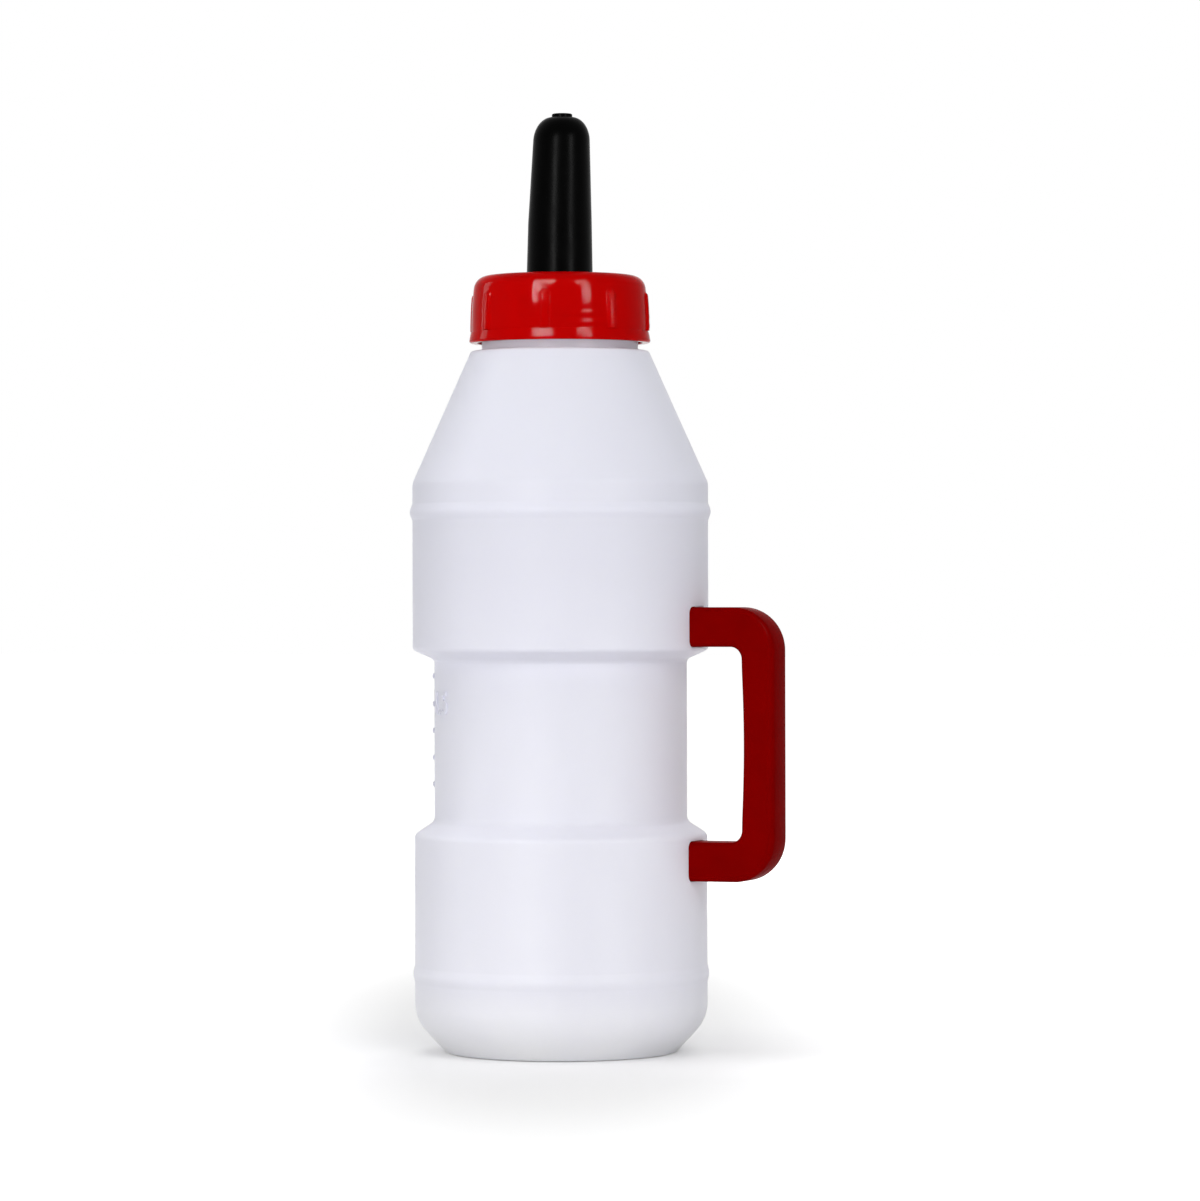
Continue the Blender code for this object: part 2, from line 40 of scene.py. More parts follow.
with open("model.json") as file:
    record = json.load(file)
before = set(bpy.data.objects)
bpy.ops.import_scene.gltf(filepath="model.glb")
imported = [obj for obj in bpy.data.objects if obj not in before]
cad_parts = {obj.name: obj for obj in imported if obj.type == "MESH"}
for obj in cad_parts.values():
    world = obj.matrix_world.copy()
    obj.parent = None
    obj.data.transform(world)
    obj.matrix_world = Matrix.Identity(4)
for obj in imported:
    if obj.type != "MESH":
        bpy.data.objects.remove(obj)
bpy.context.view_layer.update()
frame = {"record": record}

# Places that the frame gives
CAP_LOW, CAP_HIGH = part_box("screw_cap")
TEAT_LOW, TEAT_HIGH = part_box("teat")
PLATE_LOW, PLATE_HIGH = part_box("valve_plate")
WASHER_LOW, WASHER_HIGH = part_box("rim_washer")
RETAINER_LOW, RETAINER_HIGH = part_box("ball_retainer")
BALL_LOW, BALL_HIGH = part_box("valve_ball")
HANDLE_LOW, HANDLE_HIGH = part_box("handle")
AXIS = Vector(((CAP_LOW.x + CAP_HIGH.x) / 2, 0, 0))
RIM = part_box("bottle")[1].z
CAP_BOTTOM = CAP_LOW.z
CAP_CROWN = CAP_HIGH.z
CAP_RISE_PER_RADIAN = frame["record"]["behaviour"]["couplings"][0]["ratio"]

# Fits
CLEARANCE = 0.3 * MM
WALL = 2.0 * MM

# Bottle
FOOT_PUSH_UP = 5.0 * MM
FOOT_PUSH_UP_FILLET = 4.0 * MM
FOOT_SLOPE = 6.0 * MM
FOOT_RING_WIDTH = 4.5 * MM
FOOT_RING_INNER_FILLET = 1.2 * MM
FOOT_RING_OUTER_FILLET = 2.0 * MM
FOOT_CHAMFER_RUN = 13.2 * MM
FOOT_CHAMFER_RISE = 14.2 * MM
FOOT_CHAMFER_FILLET = 18.0 * MM
LOWER_RADIUS = 62.95 * MM
LOWER_TOP = 93.5 * MM
SHOULDER_FILLET = 3.2 * MM
WAIST_RADIUS = 54.35 * MM
WAIST_BOTTOM = 99.2 * MM
WAIST_FOOT_FILLET = 4.0 * MM
WAIST_TOP = 168.4 * MM
WAIST_TOP_FILLET = 2.5 * MM
UPPER_RADIUS = 63.6 * MM
UPPER_BOTTOM = 172.7 * MM
UNDERCUT_FILLET = 2.2 * MM
CONE_BOTTOM = 244.2 * MM
CONE_FOOT_FILLET = 8.0 * MM
CONE_TOP_RADIUS = 38.2 * MM
CONE_TOP_FILLET = 1.6 * MM
NECK_RADIUS = 33.6 * MM
NECK_HEIGHT = 21.1 * MM
NECK_FILLET = 0.5 * MM
LEDGE = RIM - NECK_HEIGHT

# Stiffening beads around the bottle
BEAD_HEIGHT = 7.6 * MM
BEAD_CRISPNESS = 1.3
LOWER_BEAD = 33.7 * MM
LOWER_BEAD_PROUD = 0.7 * MM
UPPER_BEAD = 231.8 * MM
UPPER_BEAD_PROUD = 1.1 * MM

# Parting line of the blow mould, and the pinched seam under the foot
PARTING_PROUD = 0.12 * MM
PARTING_HALF_ANGLE = math.radians(0.35)
PINCH_LENGTH = 62.0 * MM
PINCH_WIDTH = 1.6 * MM
PINCH_PROUD = 0.9 * MM
PINCH_END_FILLET = 0.9 * PINCH_PROUD
PINCH_EDGE = 0.3 * PINCH_WIDTH
PINCH_EDGE_LIMIT = math.radians(60)

# Raised scale on the waist, with bars whose lower part is sunk in the wall
SCALE_TURN = math.radians(197)
SCALE_PROUD = 0.7 * MM
SCALE_SUNK = 0.2 * MM
SCALE_MARGIN = 5.0 * MM
SCALE_BAR_HEIGHT = 2.4 * MM
SCALE_SHORT_BAR = 7.0 * MM
SCALE_LONG_BAR = 13.0 * MM
SCALE_FLANK_RISE = 0.35
SCALE_CREST_WIDTH = 0.6
SCALE_STEP_LITRES = 0.1
SCALE_STEPS = 39
SCALE_LABEL_EVERY = 5
SCALE_DIGIT_HEIGHT = 9.5 * MM
SCALE_DIGIT_GAP = 2.5 * MM
SCALE_DIGIT_EDGE = 0.12 * MM
DIGIT_SHARE_OF_FONT = 0.7
FILL_STEP = 0.5 * MM
LITRES_A_CUBIC_METRE = 1000

# Screw threads, at the pitch that couples the cap's turn to its rise
THREAD_PITCH = 2 * math.pi * CAP_RISE_PER_RADIAN
THREAD_TURNS = 1.4
THREAD_PROUD = 1.35 * MM
THREAD_SUNK = 0.25 * MM
THREAD_ROOT = 2.2 * MM
THREAD_CREST = 0.8 * MM
THREAD_LIFT = 7.5 * MM
THREAD_BOTTOM = LEDGE + THREAD_LIFT
THREAD_STEPS = 96
THREAD_RUNOUT_STEPS = 8
THREAD_END_SHARE = 0.05

# Handle, a little wider than its plain solid because its edges are rounded further
HANDLE_EDGE = 2.6 * MM
HANDLE_EDGE_LIMIT = math.radians(75)
HANDLE_SWELL = 1.5 * MM
HANDLE_WIDTH = HANDLE_HIGH.y - HANDLE_LOW.y + 2 * HANDLE_SWELL
GRIP_THICKNESS = 14.8 * MM
GRIP_BOW = 1.0 * MM
GRIP_OUTER_FILLET = 18.3 * MM
GRIP_INNER_FILLET = 5.2 * MM
ARM_THICKNESS = 16.8 * MM
LUG_HEIGHT = 1.2 * MM
LUG_LENGTH = 3.4 * MM
LUG_INSET = 1.4 * MM
LUG_ROOT = 1.0 * MM

# Cap, whose skirt draws in by CAP_DRAFT with the power CAP_BARREL of the height
CAP_INNER = 35.4 * MM
CAP_SKIRT = 38.0 * MM
CAP_DRAFT = 1.7 * MM
CAP_BARREL = 2.2
CAP_TOP = 3.0 * MM
CAP_TOP_FILLET = 6.0 * MM
CAP_MOUTH_FILLET = 0.5 * MM
CAP_FLANGE_HEIGHT = 4.8 * MM
CAP_FLANGE_PROUD = 1.2 * MM
CAP_FLANGE_LEAN = 0.9 * MM
CAP_FLANGE_FILLET = 1.0 * MM
CAP_HOLE = 14.5 * MM
CAP_HOLE_FILLET = 0.8 * MM
CAP_HOLE_CHAMFER = 1.6 * MM
CAP_CEILING_FILLET = 0.8 * MM
CAP_SHELF = CAP_BOTTOM + CAP_FLANGE_HEIGHT
SKIRT_END_GAP = 0.3 * MM
SKIRT_TOP = CAP_CROWN - CAP_TOP_FILLET - SKIRT_END_GAP
RIB_COUNT = 8
RIB_APART = 2 * math.pi / RIB_COUNT
RIB_WIDTH = 5.0 * MM
RIB_PROUD = 0.95 * MM
RIB_RAMP = 1.5 * MM
RIB_TOP_DROP = 7.0 * MM
RIB_TOP = CAP_CROWN - RIB_TOP_DROP
RIB_TURN = math.radians(13.0)

# Sink marks low on the skirt, as the thread inside leaves them. They run round the half turn
# from SINK_TURN on and fade out past both its ends
SINK_PITCH = 3.9 * MM
SINK_SHIFT = 2.45 * MM
SINK_DEPTH = 0.09 * MM
SINK_HEIGHT = 11.5 * MM
SINK_TURN = math.radians(-67.6)
SINK_FADE = 0.1

# Teat
TEAT_BASE_RADIUS = 14.2 * MM
TEAT_KNEE_RADIUS = 13.7 * MM
TEAT_KNEE_HEIGHT = 22.5 * MM
TEAT_KNEE_FILLET = 60.0 * MM
TEAT_SHOULDER_RADIUS = 12.2 * MM
TEAT_DOME = 10.6 * MM
TEAT_TIP_RADIUS = 4.4 * MM
TEAT_TIP_HEIGHT = 1.5 * MM
TEAT_TIP_FILLET = 0.6 * MM
TEAT_WALL = 2.6 * MM
TEAT_HOLE_RADIUS = 1.3 * MM
TEAT_HOLE_FILLET = 0.3 * MM
TEAT_FLANGE = 3.0 * MM
TEAT_FLANGE_FILLET = 0.4 * MM
TEAT_ROOT_FILLET = 1.1 * MM
TEAT_LEAN = 1.2 * MM
TEAT_LEAN_EARLY = 0.6
TEAT_LEAN_TURN = math.radians(22.4)

# Washer and ball valve
WASHER_OVERLAP = 0.6 * MM
BALL_RADIUS = 5.5 * MM
CAGE_BORE = 6.3 * MM
CAGE_WALL = 1.6 * MM
CAGE_ROOT_FILLET = 0.5 * MM
CAGE_WINDOWS = 4
CAGE_TURN = math.radians(45)
CAGE_WINDOW_WIDTH = 3.6 * MM
CAGE_WINDOW_FILLET = 0.45 * CAGE_WINDOW_WIDTH
CAGE_TOP_BAND = 1.5 * MM
SEAT_HOLE_RADIUS = 3.4 * MM
SEAT_LIP = 1.0 * MM
PLATE_THICKNESS = 2.0 * MM
RETAINER_STEP = 0.7 * MM
RETAINER_RING = 1.6 * MM
RETAINER_BAR = 2.2 * MM
RETAINER_BAR_INSET = 0.2 * MM
FINE_EDGE = 0.2 * MM
SMALL_EDGE = 0.3 * MM
SOFT_EDGE = 0.4 * MM

# Facets: steps round an axis or along a curve, and the turn of one step of an arc
BOTTLE_STEPS = 192
CLOSURE_STEPS = 128
BEAD_STEPS = 16
SCALE_BAR_STEPS = 10
BOW_STEPS = 16
SKIRT_STEPS = 56
RIB_RAMP_STEPS = 6
RIB_FACE_SHARES = (0.2, 0.45)
BETWEEN_RIBS_STEPS = 18
DOME_STEPS = 14
BALL_SEGMENTS = 48
BALL_RINGS = 32
DIGIT_STEPS = 6
EDGE_STEPS = 5
PINCH_EDGE_STEPS = 3
ARC = math.radians(7)
GRIP_ARC = math.radians(4)
CAP_ARC = math.radians(9)
SMALL_ARC = math.radians(30)

# The angle from which faces meet at a sharp edge, the share of a side that its fillets may
# take, and how far a cutter stands past what it cuts
CREASE = math.radians(32)
CORNER_ROOM = 0.98
CUT_OVERRUN = 3.0 * MM

# Where a noise's middle values begin and end, and where its blotches begin
NOISE_LOW = 0.3
NOISE_HIGH = 0.7
BLOTCH_START = 0.4

# Painted light: the base colour is lighter towards the foot and darker up the cone, standing in for
# the light that the bright floor throws up and that shines through the wall: (height, colour)
PAINTED_FOOT_LIGHT_STEPS = (
    (0.004, (0.97, 0.97, 1.00)),
    (0.030, (0.90, 0.90, 1.00)),
    (0.150, (0.86, 0.86, 0.97)),
    (0.210, (0.80, 0.80, 0.91)),
    (0.300, (0.78, 0.79, 0.89)),
)

# Camera
IMAGE_WIDTH = 1200
CAMERA_FOCAL_PIXELS = 4950
SENSOR_WIDTH = 36.0
CLIP_START = 0.05
CAMERA_AZIMUTH = math.radians(22.4)
CAMERA_RIGHT = Vector((math.cos(CAMERA_AZIMUTH), math.sin(CAMERA_AZIMUTH), 0))
CAMERA_BACK = Vector((math.sin(CAMERA_AZIMUTH), -math.cos(CAMERA_AZIMUTH), 0))
CAMERA_DISTANCE = 2.13
CAMERA_HEIGHT = 0.1978
CAMERA_ROLL = math.radians(0.14)
AIM_ASIDE = 0.017
AIM_HEIGHT = 0.1937

# Floor and world. The floor glows by (distance, strength) round a spot behind the bottle,
# where a distance of 1 is GLOW_ASIDE across the view and GLOW_AHEAD along it. The glow is
# weaker near the bottle, which paints a soft shadow round its foot
FLOOR_HALF_SIDE = 12.0
FLOOR_GREY = 0.86
FLOOR_DROP = 0.3 * MM
WORLD_LEVEL = 0.20
# Painted shadow: the low strengths near the bottle darken the floor round its foot
GLOW_AND_PAINTED_SHADOW_STEPS = ((0.45, 0.20), (0.75, 0.22), (1.05, 0.34), (1.6, 0.58), (3.5, 0.90))
GLOW_BEHIND = 0.12
GLOW_ASIDE = 0.10
GLOW_AHEAD = 0.45

# Soft lights: metres to the camera's right, towards it and up from the bottle's foot, then
# width, height and watts
SOFTBOXES = {
    "front_softbox": (0.14, 1.60, 0.26, 0.9, 0.50, 7.8),
    "high_softbox": (0.35, 1.43, 1.10, 0.9, 0.50, 4.3),
    "left_softbox": (-1.50, 0.26, 0.45, 0.8, 0.8, 5.0),
    "back_softbox": (0.30, -1.50, 0.90, 0.9, 0.9, 8.0),
    "top_softbox": (0, 0.40, 2.10, 1.2, 1.2, 8.5),
}
FLOOR_SOFTBOX = (0, 0, 2.10, 2.0, 2.0, 7.5)

# Cards, in the same terms. Each shows only as a reflection, and only in the pieces that it names
CARDS = {
    "left_card": (-0.625, 1.473, 1.38, 0.86, 0.92, 500, ["cap"]),
    "left_card_foot": (-0.818, 1.375, 0.75, 0.35, 0.29, 85, ["cap"]),
    "right_card": (0.854, 1.353, 1.38, 0.58, 0.92, 201, ["cap", "handle"]),
    "right_card_foot": (0.94, 1.294, 0.755, 0.34, 0.28, 52, ["cap"]),
    "rib_strip": (1.50, 0.558, 0.50, 0.11, 0.37, 8, ["cap"]),
    "far_left_card": (-1.45, -0.70, 0.60, 0.4, 1.0, 14, ["cap"]),
    "left_strip": (-0.62, 1.46, 0.50, 0.34, 0.9, 22, ["bottle", "teat"]),
    "right_strip": (1.02, 1.22, 0.50, 0.30, 0.9, 16, ["bottle", "teat"]),
}

# Sockets of the Mix node where it mixes colours
MIX_FACTOR = 0
MIX_FIRST = 6
MIX_SECOND = 7
MIX_RESULT = 2


def rounded(corners, closed=False, arc=ARC):
    """The points of an outline whose corners (x, z, radius) are rounded with arcs."""
    count = len(corners)
    spots = [Vector(corner[:2]) for corner in corners]
    halves = []
    wanted = []
    for index, corner in enumerate(corners):
        back = spots[index - 1] - spots[index]
        ahead = spots[(index + 1) % count] - spots[index]
        sharp = corner[2] <= 0 or (not closed and index in (0, count - 1))
        halves.append(back.angle(ahead) / 2)
        wanted.append(0 if sharp else corner[2] / math.tan(halves[index]))
    points = []
    for index, here in enumerate(spots):
        if not wanted[index]:
            points.append(here)
            continue
        reach = wanted[index]
        for other in (index - 1, (index + 1) % count):
            room = CORNER_ROOM * (spots[other] - here).length
            reach = min(reach, room * wanted[index] / (wanted[index] + wanted[other]))
        back = (spots[index - 1] - here).normalized()
        ahead = (spots[(index + 1) % count] - here).normalized()
        centre = here + (back + ahead).normalized() * reach / math.cos(halves[index])
        start = here + back * reach - centre
        turn = start.angle_signed(here + ahead * reach - centre)
        steps = max(1, math.ceil(abs(turn) / arc))
        for step in range(steps + 1):
            angle = -turn * step / steps
            points.append(centre + Vector((
                start.x * math.cos(angle) - start.y * math.sin(angle),
                start.x * math.sin(angle) + start.y * math.cos(angle),
            )))
    return points


def link(name, data):
    """A new object of the scene with this mesh, lamp or other data."""
    thing = bpy.data.objects.new(name, data)
    bpy.context.scene.collection.objects.link(thing)
    return thing


def mesh_object(name, built):
    """An object from a bmesh, with its faces pointing out."""
    bmesh.ops.recalc_face_normals(built, faces=built.faces)
    mesh = bpy.data.meshes.new(name)
    built.to_mesh(mesh)
    built.free()
    return link(name, mesh)


def grid_solid(name, rings, closed_outline):
    """A closed solid from rings of points, one ring for each direction round the axis.

    Where the outline isn't closed, its two ends lie on the axis and become one point each.
    """
    built = bmesh.new()
    if closed_outline:
        rows = [[built.verts.new(point) for point in ring] for ring in rings]
    else:
        first = built.verts.new(rings[0][0])
        last = built.verts.new(rings[0][-1])
        rows = []
        for ring in rings:
            rows.append([first] + [built.verts.new(point) for point in ring[1:-1]] + [last])
    count = len(rows[0])
    spans = count if closed_outline else count - 1
    for index, row in enumerate(rows):
        after = rows[(index + 1) % len(rows)]
        for place in range(spans):
            ahead = (place + 1) % count
            corners = [row[place], row[ahead], after[ahead], after[place]]
            corners = [point for spot, point in enumerate(corners) if point not in corners[:spot]]
            built.faces.new(corners)
    return mesh_object(name, built)


def directions(steps):
    """Evenly spaced directions round the axis."""
    return [2 * math.pi * step / steps for step in range(steps)]


def around(radius, height, angle):
    """The point at a radius and direction from the bottle's axis."""
    return AXIS + Vector((radius * math.cos(angle), radius * math.sin(angle), height))


def turned(name, outline, angles, place=around, closed_outline=True):
    """A solid turned about the bottle's axis from (radius, height) points, each set by place."""
    rings = [[place(x, z, angle) for x, z in outline] for angle in angles]
    return grid_solid(name, rings, closed_outline)


def bar(built, sections):
    """Adds a bar through closed sections of points to a bmesh, with both its ends shut."""
    rows = [[built.verts.new(point) for point in section] for section in sections]
    for row, after in zip(rows, rows[1:]):
        for place in range(len(row)):
            ahead = (place + 1) % len(row)
            built.faces.new([row[place], row[ahead], after[ahead], after[place]])
    built.faces.new(rows[0])
    built.faces.new(rows[-1])


def extruded(name, outline, width, turn=0.0):
    """A solid drawn in an upright plane through the bottle's axis and grown evenly to both sides.

    The plane is the XZ plane, or that plane turned about the axis.
    """
    built = bmesh.new()
    across = Vector((-math.sin(turn), math.cos(turn), 0))
    points = []
    for x, z in outline:
        place = AXIS + Vector((x * math.cos(turn), x * math.sin(turn), z)) - across * width / 2
        points.append(built.verts.new(place))
    face = built.faces.new(points)
    grown = bmesh.ops.extrude_face_region(built, geom=[face])
    moved = [item for item in grown["geom"] if isinstance(item, bmesh.types.BMVert)]
    bmesh.ops.translate(built, verts=moved, vec=across * width)
    return mesh_object(name, built)


def boolean(thing, operation, others):
    """Cuts an object by others, or joins them to it, after its other modifiers."""
    for other in others:
        modifier = thing.modifiers.new(operation.title(), "BOOLEAN")
        modifier.operation = operation
        modifier.object = other
        modifier.solver = "EXACT"


def moulded_edges(thing, width, steps=EDGE_STEPS, limit=HANDLE_EDGE_LIMIT):
    """Rounds the edges of a moulding where its faces meet at more than a limit."""
    edges = thing.modifiers.new("Moulded edges", "BEVEL")
    edges.width = width
    edges.segments = steps
    edges.limit_method = "ANGLE"
    edges.angle_limit = limit


def finish(thing, look, body, nodes=(), cutters=(), crease=CREASE):
    """Applies a piece's modifiers, gives it its material and hands it to its body."""
    bpy.context.view_layer.update()
    graph = bpy.context.evaluated_depsgraph_get()
    mesh = bpy.data.meshes.new_from_object(thing.evaluated_get(graph))
    thing.modifiers.clear()
    thing.data = mesh
    mesh.name = thing.name
    mesh.materials.clear()
    mesh.materials.append(look)
    mesh.shade_smooth()
    mesh.set_sharp_from_angle(angle=crease)
    for cutter in cutters:
        bpy.data.objects.remove(cutter, do_unlink=True)
    if nodes:
        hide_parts(*nodes)
    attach(thing, body)
    return thing


def fill_ramp(ramp, stops):
    """Gives a colour ramp its (place, colour) stops, with places from 0 to 1."""
    elements = ramp.color_ramp.elements
    while len(elements) < len(stops):
        elements.new(0.5)
    for element, (place, colour) in zip(elements, stops):
        element.position = place
        element.color = (*colour, 1.0)


class Look:
    """A procedural material: a Principled shader whose colour and relief come from noise."""

    def __init__(self, name, colour, roughness, specular):
        self.made = bpy.data.materials.new(name)
        self.made.use_nodes = True
        self.nodes = self.made.node_tree.nodes
        self.links = self.made.node_tree.links
        self.shader = self.nodes["Principled BSDF"]
        self.colour = colour
        self.shader.inputs["Base Color"].default_value = (*colour, 1.0)
        self.shader.inputs["Roughness"].default_value = roughness
        self.shader.inputs["Specular IOR Level"].default_value = specular
        self.place = self.nodes.new("ShaderNodeTexCoord").outputs["Object"]
        self.normal = None

    def noise(self, size, detail=2.0, stretch=(1, 1, 1)):
        """Noise whose features are about size metres wide, stretched along the axes."""
        mapping = self.nodes.new("ShaderNodeMapping")
        mapping.inputs["Scale"].default_value = [1 / (size * by) for by in stretch]
        self.links.new(self.place, mapping.inputs["Vector"])
        texture = self.nodes.new("ShaderNodeTexNoise")
        texture.inputs["Scale"].default_value = 1.0
        texture.inputs["Detail"].default_value = detail
        self.links.new(mapping.outputs["Vector"], texture.inputs["Vector"])
        return texture.outputs["Fac"]

    def spread(self, source, low, high, low_to, high_to):
        """Maps low to high of a value onto another range, clamped."""
        ramp = self.nodes.new("ShaderNodeMapRange")
        ramp.inputs["From Min"].default_value = low
        ramp.inputs["From Max"].default_value = high
        ramp.inputs["To Min"].default_value = low_to
        ramp.inputs["To Max"].default_value = high_to
        self.links.new(source, ramp.inputs["Value"])
        return ramp.outputs["Result"]

    def blotch(self, source, other, share, start=BLOTCH_START):
        """Mixes up to a share of another colour into the base colour, where noise is over start."""
        mix = self.nodes.new("ShaderNodeMix")
        mix.data_type = "RGBA"
        before = self.shader.inputs["Base Color"]
        mix.inputs[MIX_FIRST].default_value = (*self.colour, 1.0)
        mix.inputs[MIX_SECOND].default_value = (*other, 1.0)
        if before.is_linked:
            self.links.new(before.links[0].from_socket, mix.inputs[MIX_FIRST])
        amount = self.spread(source, start, NOISE_HIGH, 0, share)
        self.links.new(amount, mix.inputs[MIX_FACTOR])
        self.links.new(mix.outputs[MIX_RESULT], before)

    def climb(self, top, steps):
        """Grades the base colour with height, through (height, colour) steps from the floor up."""
        split = self.nodes.new("ShaderNodeSeparateXYZ")
        self.links.new(self.place, split.inputs["Vector"])
        ramp = self.nodes.new("ShaderNodeValToRGB")
        self.links.new(self.spread(split.outputs["Z"], 0, top, 0, 1), ramp.inputs["Fac"])
        fill_ramp(ramp, [(height / top, colour) for height, colour in steps])
        self.links.new(ramp.outputs["Color"], self.shader.inputs["Base Color"])

    def relief(self, source, height):
        """Adds a bump of this height in metres."""
        bump = self.nodes.new("ShaderNodeBump")
        bump.inputs["Distance"].default_value = height
        self.links.new(source, bump.inputs["Height"])
        if self.normal:
            self.links.new(self.normal, bump.inputs["Normal"])
        self.normal = bump.outputs["Normal"]
        self.links.new(self.normal, self.shader.inputs["Normal"])

    def dull(self, source, low, high):
        """Lets the roughness vary between two values."""
        level = self.spread(source, NOISE_LOW, NOISE_HIGH, low, high)
        self.links.new(level, self.shader.inputs["Roughness"])

    def scatter(self, weight, scale, radius=None):
        """Lets light into the material, to a depth of about scale metres."""
        self.shader.inputs["Subsurface Weight"].default_value = weight
        self.shader.inputs["Subsurface Scale"].default_value = scale
        if radius:
            self.shader.inputs["Subsurface Radius"].default_value = radius


def milky_plastic():
    """Natural polyethylene: milky, a little translucent, with the mould's fine grain."""
    look = Look("milky_polyethylene", (0.81, 0.81, 0.92), roughness=0.36, specular=0.12)
    look.scatter(weight=0.25, scale=6 * MM, radius=(1.0, 1.0, 1.15))
    # Painted light: the colour grows lighter towards the foot and darker up the cone
    look.climb(RIM, PAINTED_FOOT_LIGHT_STEPS)
    clouds = look.noise(size=45 * MM, detail=3.0, stretch=(1, 1, 2.2))
    look.blotch(clouds, (0.775, 0.775, 0.885), share=0.35, start=0.35)
    look.dull(look.noise(size=9 * MM, detail=3.0), low=0.34, high=0.46)
    look.relief(look.noise(size=32 * MM, detail=1.0, stretch=(1, 1, 1.8)), height=0.35 * MM)
    look.relief(look.noise(size=0.7 * MM), height=0.014 * MM)
    return look.made


def cap_plastic():
    """Bright red polypropylene with a high gloss."""
    look = Look("red_polypropylene", (0.52, 0.0004, 0.0004), roughness=0.07, specular=0.009)
    look.blotch(look.noise(size=6 * MM, detail=4.0), (0.45, 0.0007, 0.0007), share=0.3)
    look.dull(look.noise(size=3 * MM, detail=3.0), low=0.04, high=0.08)
    look.relief(look.noise(size=7 * MM, detail=1.0, stretch=(1, 1, 1.5)), height=0.03 * MM)
    look.relief(look.noise(size=0.5 * MM), height=0.0012 * MM)
    return look.made


def handle_plastic():
    """Darker red polypropylene with a satin finish."""
    look = Look("dark_red_polypropylene", (0.222, 0.0003, 0.0003), roughness=0.26, specular=0.0012)
    look.blotch(look.noise(size=14 * MM, detail=4.0), (0.17, 0.0005, 0.0005), share=0.4)
    look.dull(look.noise(size=6 * MM, detail=3.0), low=0.22, high=0.32)
    look.relief(look.noise(size=10 * MM, detail=1.0), height=0.06 * MM)
    look.relief(look.noise(size=0.45 * MM), height=0.008 * MM)
    return look.made


def teat_rubber():
    """Black rubber with a soft, slightly uneven sheen."""
    look = Look("black_rubber", (0.0002, 0.0002, 0.0002), roughness=0.28, specular=0.018)
    look.blotch(look.noise(size=5 * MM, detail=3.0), (0.0008, 0.0008, 0.0008), share=0.5)
    look.dull(look.noise(size=4 * MM, detail=3.0, stretch=(1, 1, 3)), low=0.24, high=0.34)
    look.relief(look.noise(size=9 * MM, detail=1.0, stretch=(1, 1, 2)), height=0.12 * MM)
    look.relief(look.noise(size=0.6 * MM), height=0.012 * MM)
    return look.made


def valve_plastic():
    """White moulded polypropylene."""
    look = Look("white_polypropylene", (0.76, 0.76, 0.74), roughness=0.36, specular=0.4)
    look.scatter(weight=0.1, scale=2 * MM)
    look.blotch(look.noise(size=8 * MM, detail=3.0), (0.70, 0.70, 0.67), share=0.4)
    look.dull(look.noise(size=3 * MM), low=0.32, high=0.42)
    look.relief(look.noise(size=0.5 * MM), height=0.006 * MM)
    return look.made


def ball_plastic():
    """Red plastic of the ball, smooth."""
    look = Look("ball_red", (0.35, 0.0015, 0.0015), roughness=0.25, specular=0.4)
    look.blotch(look.noise(size=3 * MM, detail=3.0), (0.29, 0.001, 0.001), share=0.4)
    look.relief(look.noise(size=0.4 * MM), height=0.004 * MM)
    return look.made


def washer_rubber():
    """Grey silicone of the rim washer, matte."""
    look = Look("grey_silicone", (0.50, 0.52, 0.54), roughness=0.5, specular=0.35)
    look.blotch(look.noise(size=6 * MM, detail=3.0), (0.44, 0.46, 0.48), share=0.4)
    look.relief(look.noise(size=0.4 * MM), height=0.01 * MM)
    return look.made


def bead(radius, height, proud):
    """Corners of a soft round bead that stands proud of a wall, from its lower edge up."""
    corners = []
    for step in range(BEAD_STEPS + 1):
        share = step / BEAD_STEPS
        swell = max(0, math.sin(math.pi * share)) ** BEAD_CRISPNESS
        corners.append((radius + proud * swell, height + BEAD_HEIGHT * (share - 0.5), 0))
    return corners


def inset(corners, wall):
    """The corners of a line that lies one wall inside an open outline run from the foot up."""
    moved = []
    last = len(corners) - 1
    for index, (x, z, radius) in enumerate(corners):
        here = Vector((x, z))
        before = (here - Vector(corners[max(index - 1, 0)][:2])).normalized()
        after = (Vector(corners[min(index + 1, last)][:2]) - here).normalized()
        if index == 0:
            before = after
        if index == last:
            after = before
        inward = Vector((-before.y - after.y, before.x + after.x)) / (1 + before.dot(after))
        bend = before.x * after.y - before.y * after.x
        arc = radius - wall if bend > 0 else radius + wall
        place = here + inward * wall
        moved.append((place.x, place.y, max(arc, 0) if radius else 0))
    return moved


def bottle_corners():
    """The corners of the bottle's outside without its beads: its foot, its body and its cone."""
    ring_outside = LOWER_RADIUS - FOOT_CHAMFER_RUN
    ring_inside = ring_outside - FOOT_RING_WIDTH
    foot = [
        (0, FOOT_PUSH_UP, 0),
        (ring_inside - FOOT_SLOPE, FOOT_PUSH_UP, FOOT_PUSH_UP_FILLET),
        (ring_inside, 0, FOOT_RING_INNER_FILLET),
        (ring_outside, 0, FOOT_RING_OUTER_FILLET),
        (LOWER_RADIUS, FOOT_CHAMFER_RISE, FOOT_CHAMFER_FILLET),
    ]
    body = [
        (LOWER_RADIUS, LOWER_TOP, SHOULDER_FILLET),
        (WAIST_RADIUS, WAIST_BOTTOM, WAIST_FOOT_FILLET),
        (WAIST_RADIUS, WAIST_TOP, WAIST_TOP_FILLET),
        (UPPER_RADIUS, UPPER_BOTTOM, UNDERCUT_FILLET),
    ]
    cone = [
        (UPPER_RADIUS, CONE_BOTTOM, CONE_FOOT_FILLET),
        (CONE_TOP_RADIUS, LEDGE, CONE_TOP_FILLET),
        (NECK_RADIUS, LEDGE, NECK_FILLET),
    ]
    return foot, body, cone


def on_shell(radius, height, angle):
    """A point of the shell, raised on the mould's parting line opposite the handle."""
    off = abs(math.remainder(angle - math.pi, 2 * math.pi))
    raised = 0 < radius and height < LEDGE and off < PARTING_HALF_ANGLE
    return around(radius + PARTING_PROUD if raised else radius, height, angle)


